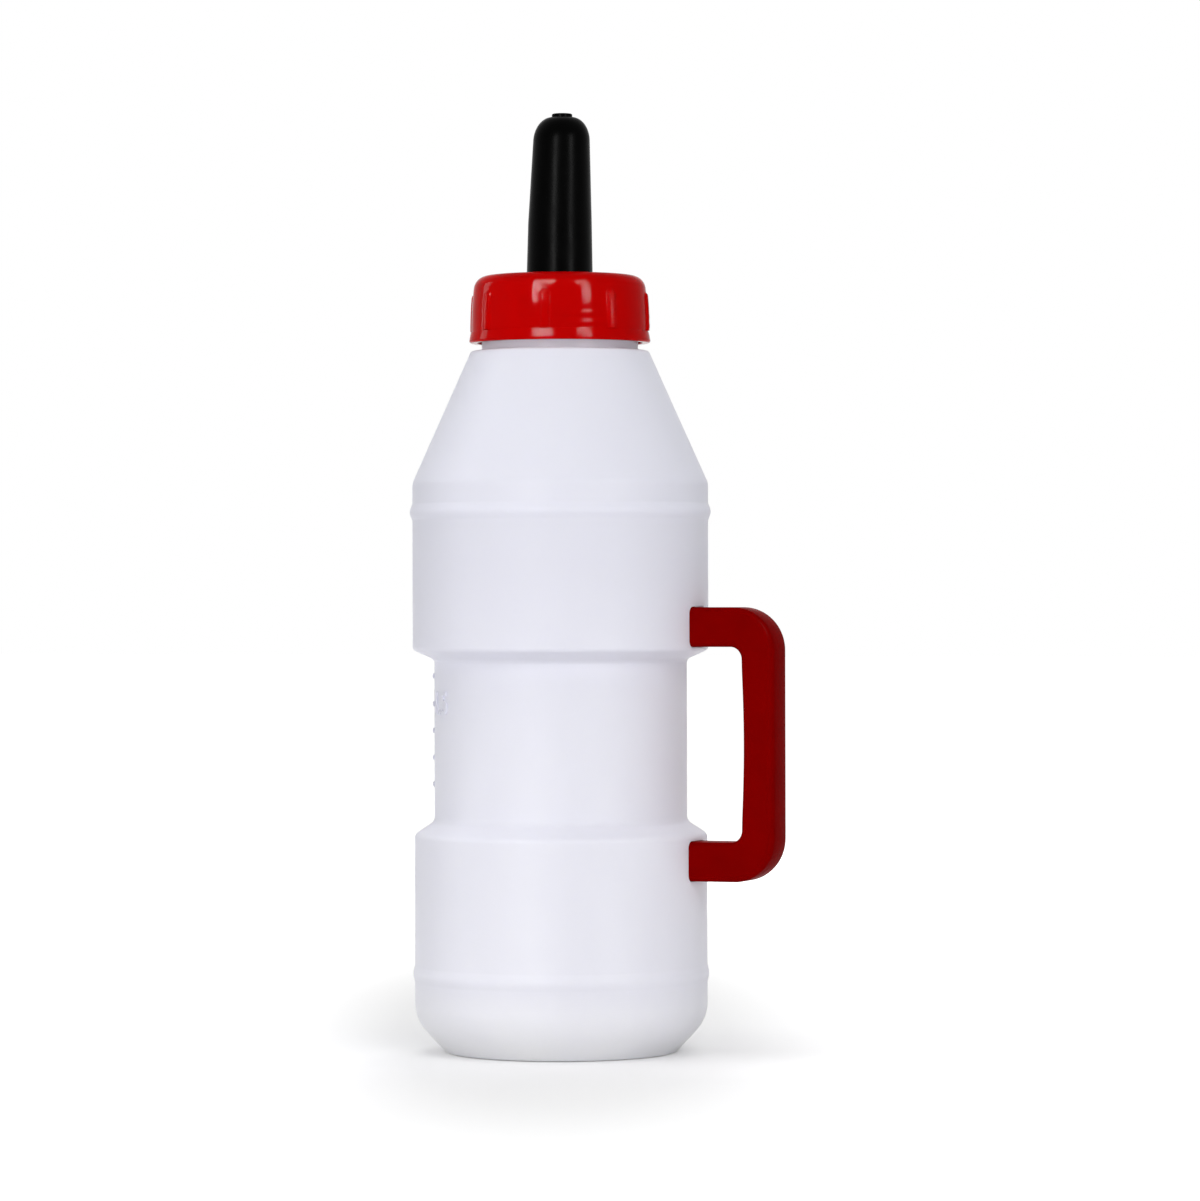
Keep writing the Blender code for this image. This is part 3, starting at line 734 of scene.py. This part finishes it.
def bottle_shell(look):
    """The blown shell with its beads, foot, hollow and the two sockets for the handle."""
    foot, body, cone = bottle_corners()
    lower_bead = bead(LOWER_RADIUS, LOWER_BEAD, LOWER_BEAD_PROUD)
    upper_bead = bead(UPPER_RADIUS, UPPER_BEAD, UPPER_BEAD_PROUD)
    lip = [(NECK_RADIUS, RIM, NECK_FILLET), (0, RIM, 0)]
    outside = rounded(foot + lower_bead + body + upper_bead + cone + lip)
    angles = directions(BOTTLE_STEPS)
    shell = turned("bottle_shell", outside, angles, on_shell, closed_outline=False)
    inside = inset(foot + body + cone + [(NECK_RADIUS, RIM, 0)], WALL)
    inside[-1] = (inside[-1][0], RIM + CUT_OVERRUN, 0)
    inside.append((0, RIM + CUT_OVERRUN, 0))
    hollow = turned("bottle_hollow", rounded(inside), angles, closed_outline=False)
    walls = []
    cuts = [hollow]
    for low, high, side in sockets():
        walls += [
            extruded("socket_wall", socket_outline(low, high, WALL), socket_width(WALL)),
            extruded("groove_wall", groove_outline(low, high, side, WALL), groove_width(WALL)),
        ]
        pocket = extruded("socket", socket_outline(low, high, 0), socket_width(0))
        moulded_edges(pocket, HANDLE_EDGE + CLEARANCE)
        cuts += [pocket, extruded("groove", groove_outline(low, high, side, 0), groove_width(0))]
    boolean(hollow, "DIFFERENCE", walls)
    boolean(shell, "DIFFERENCE", cuts)
    return finish(shell, look, "bottle", ["bottle"], walls + cuts)


def sockets():
    """The two blind sockets for the handle's feet: low, high, side of the lug."""
    low = HANDLE_LOW.z + LUG_HEIGHT
    high = HANDLE_HIGH.z - LUG_HEIGHT
    return [(low, low + ARM_THICKNESS, -1), (high - ARM_THICKNESS, high, 1)]


def socket_width(wall):
    """How wide a socket is, or the block that its wall is left from."""
    return HANDLE_WIDTH + 2 * (CLEARANCE + wall)


def socket_outline(low, high, wall):
    """A socket from the side: a pocket around the arm, grown by a wall."""
    grow = CLEARANCE + wall
    floor = HANDLE_LOW.x - AXIS.x - grow
    mouth = UPPER_RADIUS + UPPER_BEAD_PROUD + CUT_OVERRUN
    return [(floor, low - grow), (mouth, low - grow), (mouth, high + grow), (floor, high + grow)]


def groove_width(wall):
    """How wide the groove for a lug is, grown by a wall."""
    return HANDLE_WIDTH - 2 * HANDLE_EDGE + 2 * (CLEARANCE + wall)


def groove_outline(low, high, side, wall):
    """The groove that takes a socket's lug from the side, grown by a wall."""
    grow = CLEARANCE + wall
    lug_in = HANDLE_LOW.x - AXIS.x + LUG_INSET - grow
    lug_out = lug_in + LUG_LENGTH + 2 * grow
    seat = high if side > 0 else low
    root = seat - side * LUG_ROOT
    crest = seat + side * (LUG_HEIGHT + grow)
    return [(lug_in, root), (lug_out, root), (lug_out, crest), (lug_in, crest)]


def pinch_seam(look):
    """The pinched seam that the blow mould leaves across the raised middle of the foot."""
    half = PINCH_LENGTH / 2
    outline = rounded([
        (-half, 0, 0),
        (half, 0, 0),
        (half, -PINCH_PROUD, PINCH_END_FILLET),
        (-half, -PINCH_PROUD, PINCH_END_FILLET),
    ], closed=True)
    lifted = [(x, z + FOOT_PUSH_UP + CLEARANCE) for x, z in outline]
    seam = extruded("foot_pinch_seam", lifted, PINCH_WIDTH)
    moulded_edges(seam, PINCH_EDGE, PINCH_EDGE_STEPS, PINCH_EDGE_LIMIT)
    return finish(seam, look, "bottle")


def inner_radius(height):
    """The inside radius of the bottle at a height, without its fillets."""
    if height < LOWER_TOP:
        return LOWER_RADIUS - WALL
    if height < WAIST_BOTTOM:
        share = (height - LOWER_TOP) / (WAIST_BOTTOM - LOWER_TOP)
        return LOWER_RADIUS - WALL + (WAIST_RADIUS - LOWER_RADIUS) * share
    if height < WAIST_TOP:
        return WAIST_RADIUS - WALL
    return UPPER_RADIUS - WALL


def fill_height(litres):
    """The height at which the standing bottle holds this many litres."""
    height = FOOT_PUSH_UP + WALL
    left = litres / LITRES_A_CUBIC_METRE
    while left > 0:
        left -= math.pi * inner_radius(height) ** 2 * FILL_STEP
        height += FILL_STEP
    return height


def on_waist(along, height, proud):
    """Wraps a flat point onto the waist, beside the scale's direction."""
    return around(WAIST_RADIUS + proud, height, SCALE_TURN + along / WAIST_RADIUS)


def scale_bar(built, length, height):
    """A raised bar with bevelled edges, wrapped on the waist."""
    half = SCALE_BAR_HEIGHT / 2
    section = [
        (-half, -SCALE_SUNK),
        (-half, SCALE_PROUD * SCALE_FLANK_RISE),
        (-half * SCALE_CREST_WIDTH, SCALE_PROUD),
        (half * SCALE_CREST_WIDTH, SCALE_PROUD),
        (half, SCALE_PROUD * SCALE_FLANK_RISE),
        (half, -SCALE_SUNK),
    ]
    places = [length * step / SCALE_BAR_STEPS for step in range(SCALE_BAR_STEPS + 1)]
    bar(built, [[on_waist(along, height + up, proud) for up, proud in section] for along in places])


def volume_scale(look):
    """Raised bars at every tenth of a litre up the waist, longer and numbered at the halves."""
    built = bmesh.new()
    labels = []
    for step in range(1, SCALE_STEPS + 1):
        height = fill_height(step * SCALE_STEP_LITRES)
        if not WAIST_BOTTOM + SCALE_MARGIN < height < WAIST_TOP - SCALE_MARGIN:
            continue
        numbered = step % SCALE_LABEL_EVERY == 0
        scale_bar(built, SCALE_LONG_BAR if numbered else SCALE_SHORT_BAR, height)
        if numbered:
            labels.append((step * SCALE_STEP_LITRES, height))
    finish(mesh_object("volume_scale", built), look, "bottle")
    for litres, height in labels:
        scale_number(f"{litres:.1f}", height, look)


def scale_number(words, height, look):
    """A plain raised number beside a long bar."""
    text = bpy.data.curves.new("scale_number", "FONT")
    text.body = words
    text.size = SCALE_DIGIT_HEIGHT / DIGIT_SHARE_OF_FONT
    text.extrude = (SCALE_PROUD + SCALE_SUNK) / 2
    text.bevel_depth = SCALE_DIGIT_EDGE
    text.align_y = "CENTER"
    text.resolution_u = DIGIT_STEPS
    flat = link("scale_number_flat", text)
    bpy.context.view_layer.update()
    graph = bpy.context.evaluated_depsgraph_get()
    mesh = bpy.data.meshes.new_from_object(flat.evaluated_get(graph))
    bpy.data.objects.remove(flat, do_unlink=True)
    start = SCALE_LONG_BAR + SCALE_DIGIT_GAP
    for vertex in mesh.vertices:
        x, y, z = vertex.co
        vertex.co = on_waist(start + x, height + y, z + text.extrude - SCALE_SUNK)
    return finish(link("scale_number", mesh), look, "bottle")


def screw_thread(name, look, body, root_radius, proud, pitches_up):
    """A right-handed screw thread, from so many pitches over THREAD_BOTTOM, with thinned ends."""
    count = round(THREAD_STEPS * THREAD_TURNS)
    bottom = THREAD_BOTTOM + THREAD_PITCH * pitches_up
    sunk = -math.copysign(THREAD_SUNK, proud)
    sections = []
    for step in range(count + 1):
        turn = 2 * math.pi * step / THREAD_STEPS
        runout = min(1, step / THREAD_RUNOUT_STEPS, (count - step) / THREAD_RUNOUT_STEPS)
        grown = proud * max(runout, THREAD_END_SHARE)
        height = bottom + THREAD_PITCH * step / THREAD_STEPS
        section = [
            (sunk, -THREAD_ROOT / 2),
            (0, -THREAD_ROOT / 2),
            (grown, -THREAD_CREST / 2),
            (grown, THREAD_CREST / 2),
            (0, THREAD_ROOT / 2),
            (sunk, THREAD_ROOT / 2),
        ]
        sections.append([around(root_radius + out, height + up, turn) for out, up in section])
    built = bmesh.new()
    bar(built, sections)
    return finish(mesh_object(name, built), look, body)


def carry_handle(look):
    """The C-shaped handle: a bowed grip, two arms, and a foot with a snap lug on each arm."""
    end = HANDLE_LOW.x - AXIS.x
    reach = HANDLE_HIGH.x - AXIS.x
    grip_inside = reach - GRIP_THICKNESS
    (lower_low, lower_high, _), (upper_low, upper_high, _) = sockets()
    grip_low = lower_high + GRIP_INNER_FILLET
    grip_high = upper_low - GRIP_INNER_FILLET
    bowed = []
    for step in range(1, BOW_STEPS):
        share = step / BOW_STEPS
        height = grip_high + (grip_low - grip_high) * share
        bowed.append((grip_inside + GRIP_BOW * math.sin(math.pi * share), height, 0))
    outline = rounded([
        (end, upper_low, 0),
        (grip_inside, upper_low, GRIP_INNER_FILLET),
        *bowed,
        (grip_inside, lower_high, GRIP_INNER_FILLET),
        (end, lower_high, 0),
        (end, lower_low, 0),
        (reach, lower_low, GRIP_OUTER_FILLET),
        (reach, upper_high, GRIP_OUTER_FILLET),
        (end, upper_high, 0),
    ], closed=True, arc=GRIP_ARC)
    grip = extruded("carry_handle", outline, HANDLE_WIDTH)
    moulded_edges(grip, HANDLE_EDGE)
    lugs = [snap_lug(low, high, side) for low, high, side in sockets()]
    boolean(grip, "UNION", lugs)
    return finish(grip, look, "bottle", ["handle"], lugs)


def snap_lug(low, high, side):
    """The wedge on an arm's foot that snaps into the groove of its socket."""
    lug_in = HANDLE_LOW.x - AXIS.x + LUG_INSET
    lug_out = lug_in + LUG_LENGTH
    seat = high if side > 0 else low
    root = seat - side * LUG_ROOT
    crest = seat + side * LUG_HEIGHT
    outline = [
        (lug_in, root),
        (lug_out, root),
        (lug_out, seat),
        (lug_out - CLEARANCE, crest),
        (lug_in, seat),
    ]
    return extruded("snap_lug", outline, HANDLE_WIDTH - 2 * HANDLE_EDGE)


def rib_relief(radius, height, angle):
    """How far a grip rib stands out of the skirt at a place, with soft flanks and a round top."""
    off = abs(math.remainder(angle - RIB_TURN, RIB_APART)) * radius
    half = RIB_WIDTH / 2
    over = max(0, height - (RIB_TOP - half))
    distance = half - math.hypot(off, over)
    share = min(1, max(0, distance / RIB_RAMP))
    return RIB_PROUD * share * share * (3 - 2 * share)


def sink_wave(height, angle):
    """How far the skirt swells or sinks at a height over the flange."""
    fade = 1 + math.exp(-math.sin(angle - SINK_TURN) / SINK_FADE)
    share = max(0, 1 - height / SINK_HEIGHT) / fade
    return SINK_DEPTH * share * math.sin(2 * math.pi * (height + SINK_SHIFT) / SINK_PITCH)


def on_cap(radius, height, angle):
    """A point of the cap, moved by the ribs and the sink marks where it is on the skirt."""
    if CAP_SHELF <= height <= RIB_TOP:
        radius += rib_relief(radius, height, angle) + sink_wave(height - CAP_SHELF, angle)
    return around(radius, height, angle)


def cap_directions():
    """Directions round the cap, close together over the flanks of each rib."""
    half = RIB_WIDTH / 2
    offsets = [half - RIB_RAMP * step / RIB_RAMP_STEPS for step in range(RIB_RAMP_STEPS + 1)]
    offsets += [half * share for share in RIB_FACE_SHARES]
    one_side = {offset / CAP_SKIRT for offset in offsets}
    near = sorted(one_side | {-angle for angle in one_side} | {0.0})
    edge = near[-1]
    gap = (RIB_APART - 2 * edge) / BETWEEN_RIBS_STEPS
    sector = near + [edge + gap * step for step in range(1, BETWEEN_RIBS_STEPS)]
    return [RIB_TURN + index * RIB_APART + angle for index in range(RIB_COUNT) for angle in sector]


def screw_cap(look):
    """The screw ring: a tapered skirt with a flange, a crown with a hole, and grip ribs."""
    flange = CAP_SKIRT + CAP_FLANGE_PROUD
    ceiling = CAP_CROWN - CAP_TOP
    skirt = []
    for step in range(SKIRT_STEPS + 1):
        height = CAP_SHELF + (SKIRT_TOP - CAP_SHELF) * step / SKIRT_STEPS
        narrowed = CAP_DRAFT * ((height - CAP_SHELF) / (CAP_CROWN - CAP_SHELF)) ** CAP_BARREL
        skirt.append((CAP_SKIRT - narrowed, height, 0))
    outline = rounded([
        (CAP_INNER, CAP_BOTTOM, CAP_MOUTH_FILLET),
        (flange, CAP_BOTTOM, CAP_FLANGE_FILLET),
        (flange - CAP_FLANGE_LEAN, CAP_SHELF, CAP_FLANGE_FILLET),
        *skirt,
        (CAP_SKIRT - CAP_DRAFT, CAP_CROWN, CAP_TOP_FILLET),
        (CAP_HOLE, CAP_CROWN, CAP_HOLE_FILLET),
        (CAP_HOLE, ceiling + CAP_HOLE_CHAMFER, 0),
        (CAP_HOLE + CAP_HOLE_CHAMFER, ceiling, 0),
        (CAP_INNER, ceiling, CAP_CEILING_FILLET),
    ], closed=True, arc=CAP_ARC)
    ring = turned("cap_ring", outline, cap_directions(), on_cap)
    return finish(ring, look, "cap", ["screw_cap"])


def dome(wide, narrow, low, high):
    """Corners of a quarter-round dome between two radii, without its first point."""
    corners = []
    for step in range(1, DOME_STEPS + 1):
        angle = math.pi / 2 * step / DOME_STEPS
        radius = narrow + (wide - narrow) * math.cos(angle)
        corners.append((radius, low + (high - low) * math.sin(angle), 0))
    return corners


def on_teat(radius, height, angle):
    """A point of the teat, which leans over gently above the cap."""
    share = max(0, (height - CAP_CROWN) / (TEAT_HIGH.z - CAP_CROWN))
    lean = TEAT_LEAN * share ** 2 * (1 + TEAT_LEAN_EARLY - TEAT_LEAN_EARLY * share)
    aside = Vector((math.cos(TEAT_LEAN_TURN), math.sin(TEAT_LEAN_TURN), 0))
    return around(radius, height, angle) + aside * lean


def rubber_teat(look):
    """The teat: flange, tapered barrel that leans a little, dome, collar and hole at the tip."""
    low = TEAT_LOW.z
    flange_top = low + TEAT_FLANGE
    stack = (TEAT_HIGH.x - TEAT_LOW.x) / 2
    tip = TEAT_HIGH.z - TEAT_TIP_HEIGHT
    shoulder = tip - TEAT_DOME
    inner_shoulder = TEAT_SHOULDER_RADIUS - TEAT_WALL
    inner_tip = TEAT_TIP_RADIUS - TEAT_WALL / 2
    outline = rounded([
        (TEAT_BASE_RADIUS - TEAT_WALL, low, 0),
        (stack, low, TEAT_FLANGE_FILLET),
        (stack, flange_top, TEAT_FLANGE_FILLET),
        (TEAT_BASE_RADIUS, flange_top, TEAT_ROOT_FILLET),
        (TEAT_BASE_RADIUS, CAP_CROWN, 0),
        (TEAT_KNEE_RADIUS, CAP_CROWN + TEAT_KNEE_HEIGHT, TEAT_KNEE_FILLET),
        (TEAT_SHOULDER_RADIUS, shoulder, 0),
        *dome(TEAT_SHOULDER_RADIUS, TEAT_TIP_RADIUS, shoulder, tip),
        (TEAT_TIP_RADIUS, tip + TEAT_TIP_HEIGHT, TEAT_TIP_FILLET),
        (TEAT_HOLE_RADIUS, tip + TEAT_TIP_HEIGHT, TEAT_HOLE_FILLET),
        (TEAT_HOLE_RADIUS, tip - TEAT_WALL, 0),
        *reversed(dome(inner_shoulder, inner_tip, shoulder, tip - TEAT_WALL)),
        (inner_shoulder, shoulder, 0),
    ], closed=True)
    teat = turned("rubber_teat", outline, directions(CLOSURE_STEPS), on_teat)
    return finish(teat, look, "teat", ["teat"])


def rim_seal(look):
    """The flat washer between the rim and the valve plate."""
    inside = NECK_RADIUS - WALL - WASHER_OVERLAP
    outside = (WASHER_HIGH.x - WASHER_LOW.x) / 2
    outline = rounded([
        (inside, WASHER_LOW.z, SMALL_EDGE),
        (outside, WASHER_LOW.z, SMALL_EDGE),
        (outside, WASHER_HIGH.z, SMALL_EDGE),
        (inside, WASHER_HIGH.z, SMALL_EDGE),
    ], closed=True, arc=SMALL_ARC)
    seal = turned("rim_seal", outline, directions(CLOSURE_STEPS))
    return finish(seal, look, "valve", ["rim_washer"])


def valve_disc(look):
    """The plate under the teat's flange, with the ball's seat and its windowed cage."""
    low = PLATE_LOW.z
    high = PLATE_HIGH.z
    stack = (PLATE_HIGH.x - PLATE_LOW.x) / 2
    cone_top = low + SEAT_LIP + CAGE_BORE - SEAT_HOLE_RADIUS
    step = RETAINER_LOW.z - CLEARANCE
    pocket = CAGE_BORE + RETAINER_STEP
    outside = pocket + CAGE_WALL
    outline = rounded([
        (SEAT_HOLE_RADIUS, low, FINE_EDGE),
        (stack, low, SMALL_EDGE),
        (stack, low + PLATE_THICKNESS, SMALL_EDGE),
        (outside, low + PLATE_THICKNESS, CAGE_ROOT_FILLET),
        (outside, high, SMALL_EDGE),
        (pocket, high, FINE_EDGE),
        (pocket, step, 0),
        (CAGE_BORE, step, 0),
        (CAGE_BORE, cone_top, 0),
        (SEAT_HOLE_RADIUS, low + SEAT_LIP, FINE_EDGE),
    ], closed=True, arc=SMALL_ARC)
    plate = turned("valve_disc", outline, directions(CLOSURE_STEPS))
    window = rounded([
        (-CAGE_WINDOW_WIDTH / 2, cone_top + CLEARANCE, 0),
        (CAGE_WINDOW_WIDTH / 2, cone_top + CLEARANCE, 0),
        (CAGE_WINDOW_WIDTH / 2, step - CAGE_TOP_BAND, CAGE_WINDOW_FILLET),
        (-CAGE_WINDOW_WIDTH / 2, step - CAGE_TOP_BAND, CAGE_WINDOW_FILLET),
    ], closed=True)
    cutters = []
    through = 4 * outside
    for index in range(CAGE_WINDOWS // 2):
        turn = CAGE_TURN + 2 * math.pi * index / CAGE_WINDOWS
        cutters.append(extruded("cage_window", window, through, turn))
    boolean(plate, "DIFFERENCE", cutters)
    return finish(plate, look, "valve", ["valve_plate"], cutters)


def retainer_ring(look):
    """The snap-in ring with a cross bar that keeps the ball in its cage."""
    low = RETAINER_LOW.z
    high = RETAINER_HIGH.z
    outside = (RETAINER_HIGH.x - RETAINER_LOW.x) / 2
    outline = rounded([
        (outside - RETAINER_RING, low, FINE_EDGE),
        (outside, low, FINE_EDGE),
        (outside, high, SOFT_EDGE),
        (outside - RETAINER_RING, high, SMALL_EDGE),
    ], closed=True, arc=SMALL_ARC)
    ring = turned("retainer_ring", outline, directions(CLOSURE_STEPS))
    reach = outside - RETAINER_RING / 2
    under = low + RETAINER_BAR_INSET
    over = high - RETAINER_BAR_INSET
    across = [(-reach, under), (reach, under), (reach, over), (-reach, over)]
    cross_bar = extruded("retainer_bar", across, RETAINER_BAR)
    boolean(ring, "UNION", [cross_bar])
    return finish(ring, look, "valve", ["ball_retainer"], [cross_bar])


def float_ball(look):
    """The valve's ball, on its seat."""
    built = bmesh.new()
    bmesh.ops.create_uvsphere(
        built, u_segments=BALL_SEGMENTS, v_segments=BALL_RINGS, radius=BALL_RADIUS
    )
    bmesh.ops.translate(built, verts=built.verts, vec=(BALL_LOW + BALL_HIGH) / 2)
    ball = mesh_object("float_ball", built)
    return finish(ball, look, "ball", ["valve_ball"], crease=math.pi)


def combined(nodes, links, operation, first, second):
    """Two values joined by an operation of the Math node."""
    made = nodes.new("ShaderNodeMath")
    made.operation = operation
    links.new(first, made.inputs[0])
    links.new(second, made.inputs[1])
    return made.outputs[0]


def seen_directly(nodes, links):
    """1 for a ray from the camera, a reflection or a refraction, 0 for one that lights things."""
    path = nodes.new("ShaderNodeLightPath").outputs
    total = path["Is Camera Ray"]
    for name in ("Is Glossy Ray", "Is Transmission Ray"):
        total = combined(nodes, links, "MAXIMUM", total, path[name])
    return total


def glow_with_painted_shadow(nodes, links):
    """The strength of the floor's glow, which grows away from a spot behind the bottle, so that its
    weaker middle paints a soft shadow round the foot.
    """
    farthest = GLOW_AND_PAINTED_SHADOW_STEPS[-1][0]
    place = nodes.new("ShaderNodeTexCoord")
    stretched = nodes.new("ShaderNodeMapping")
    stretched.vector_type = "TEXTURE"
    stretched.inputs["Location"].default_value = AXIS - CAMERA_BACK * GLOW_BEHIND
    stretched.inputs["Rotation"].default_value = (0, 0, CAMERA_AZIMUTH)
    stretched.inputs["Scale"].default_value = (GLOW_ASIDE * farthest, GLOW_AHEAD * farthest, 1)
    links.new(place.outputs["Object"], stretched.inputs["Vector"])
    away = nodes.new("ShaderNodeVectorMath")
    away.operation = "LENGTH"
    links.new(stretched.outputs["Vector"], away.inputs[0])
    ramp = nodes.new("ShaderNodeValToRGB")
    links.new(away.outputs["Value"], ramp.inputs["Fac"])
    fill_ramp(ramp, [(distance / farthest, [strength] * 3) for distance, strength in GLOW_AND_PAINTED_SHADOW_STEPS])
    return ramp.outputs["Color"]


def studio_floor():
    """A pale floor that shows white away from the bottle, keeps the lamps' soft shadow and adds a
    painted shadow round the foot, where its glow is weaker.
    """
    look = bpy.data.materials.new("pale_floor")
    look.use_nodes = True
    nodes = look.node_tree.nodes
    links = look.node_tree.links
    nodes.remove(nodes["Principled BSDF"])
    diffuse = nodes.new("ShaderNodeBsdfDiffuse")
    diffuse.inputs["Color"].default_value = (FLOOR_GREY, FLOOR_GREY, FLOOR_GREY, 1)
    glow = nodes.new("ShaderNodeEmission")
    glow.inputs["Color"].default_value = (1, 1, 1, 1)
    seen = seen_directly(nodes, links)
    strength = combined(nodes, links, "MULTIPLY", seen, glow_with_painted_shadow(nodes, links))
    links.new(strength, glow.inputs["Strength"])
    both = nodes.new("ShaderNodeAddShader")
    links.new(diffuse.outputs[0], both.inputs[0])
    links.new(glow.outputs[0], both.inputs[1])
    links.new(both.outputs[0], nodes["Material Output"].inputs["Surface"])
    built = bmesh.new()
    bmesh.ops.create_grid(built, x_segments=1, y_segments=1, size=FLOOR_HALF_SIDE)
    ground = mesh_object("studio_floor", built)
    ground.data.materials.append(look)
    ground.location = (0, 0, -FLOOR_DROP)
    return ground


def studio_world():
    """Plain ambient light, with white where the camera or a reflection sees past the floor."""
    world = bpy.data.worlds.new("studio")
    world.use_nodes = True
    nodes = world.node_tree.nodes
    links = world.node_tree.links
    background = nodes["Background"]
    background.inputs["Color"].default_value = (1, 1, 1, 1)
    level = nodes.new("ShaderNodeMapRange")
    level.inputs["To Min"].default_value = WORLD_LEVEL
    level.inputs["To Max"].default_value = 1.0
    links.new(seen_directly(nodes, links), level.inputs["Value"])
    links.new(level.outputs["Result"], background.inputs["Strength"])
    bpy.context.scene.world = world


def softbox(name, aside, ahead, height, width, tall, watts):
    """A rectangular soft light, aimed at the bottle's middle, that doesn't show in reflections."""
    lamp = bpy.data.lights.new(name, "AREA")
    lamp.shape = "RECTANGLE"
    lamp.size = width
    lamp.size_y = tall
    lamp.energy = watts
    thing = link(name, lamp)
    thing.location = AXIS + CAMERA_RIGHT * aside + CAMERA_BACK * ahead + Vector((0, 0, height))
    aim = AXIS + Vector((0, 0, AIM_HEIGHT)) - thing.location
    thing.rotation_euler = aim.to_track_quat("-Z", "Y").to_euler()
    thing.visible_glossy = False
    return thing


def card(name, box, pieces):
    """A softbox that shows only as a reflection, and only in these pieces."""
    thing = softbox(name, *box)
    thing.visible_glossy = True
    thing.visible_diffuse = False
    lit_only(thing, pieces)


def lit_only(lamp, pieces):
    """Keeps a lamp's light to these pieces."""
    lit = bpy.data.collections.new(lamp.name)
    for piece in pieces:
        lit.objects.link(piece)
    lamp.light_linking.receiver_collection = lit


def camera():
    """The photograph's long-lens view, a little below the middle of the bottle."""
    data = bpy.data.cameras.new("camera")
    data.sensor_fit = "HORIZONTAL"
    data.sensor_width = SENSOR_WIDTH
    data.lens = CAMERA_FOCAL_PIXELS / IMAGE_WIDTH * SENSOR_WIDTH
    data.clip_start = CLIP_START
    thing = link("camera", data)
    thing.location = AXIS + CAMERA_BACK * CAMERA_DISTANCE + Vector((0, 0, CAMERA_HEIGHT))
    aim = AXIS + CAMERA_RIGHT * AIM_ASIDE + Vector((0, 0, AIM_HEIGHT)) - thing.location
    level = aim.to_track_quat("-Z", "Y")
    thing.rotation_euler = (level @ Quaternion((0, 0, 1), -CAMERA_ROLL)).to_euler()
    bpy.context.scene.camera = thing


def main():
    """Dresses every node of the frame, then lights the part."""
    camera()
    bpy.context.scene.view_settings.view_transform = "Standard"
    studio_world()
    floor = studio_floor()
    milky = milky_plastic()
    red = cap_plastic()
    white = valve_plastic()
    dressed = {"bottle": bottle_shell(milky)}
    pinch_seam(milky)
    volume_scale(milky)
    screw_thread("neck_thread", milky, "bottle", NECK_RADIUS, THREAD_PROUD, 0)
    dressed["handle"] = carry_handle(handle_plastic())
    dressed["cap"] = screw_cap(red)
    screw_thread("cap_thread", red, "cap", CAP_INNER, -THREAD_PROUD, 0.5)
    dressed["teat"] = rubber_teat(teat_rubber())
    valve_disc(white)
    retainer_ring(white)
    float_ball(ball_plastic())
    rim_seal(washer_rubber())
    for name, box in SOFTBOXES.items():
        softbox(name, *box)
    lit_only(softbox("floor_softbox", *FLOOR_SOFTBOX), [floor])
    for name, (*box, shown_in) in CARDS.items():
        card(name, box, [dressed[piece] for piece in shown_in])


main()
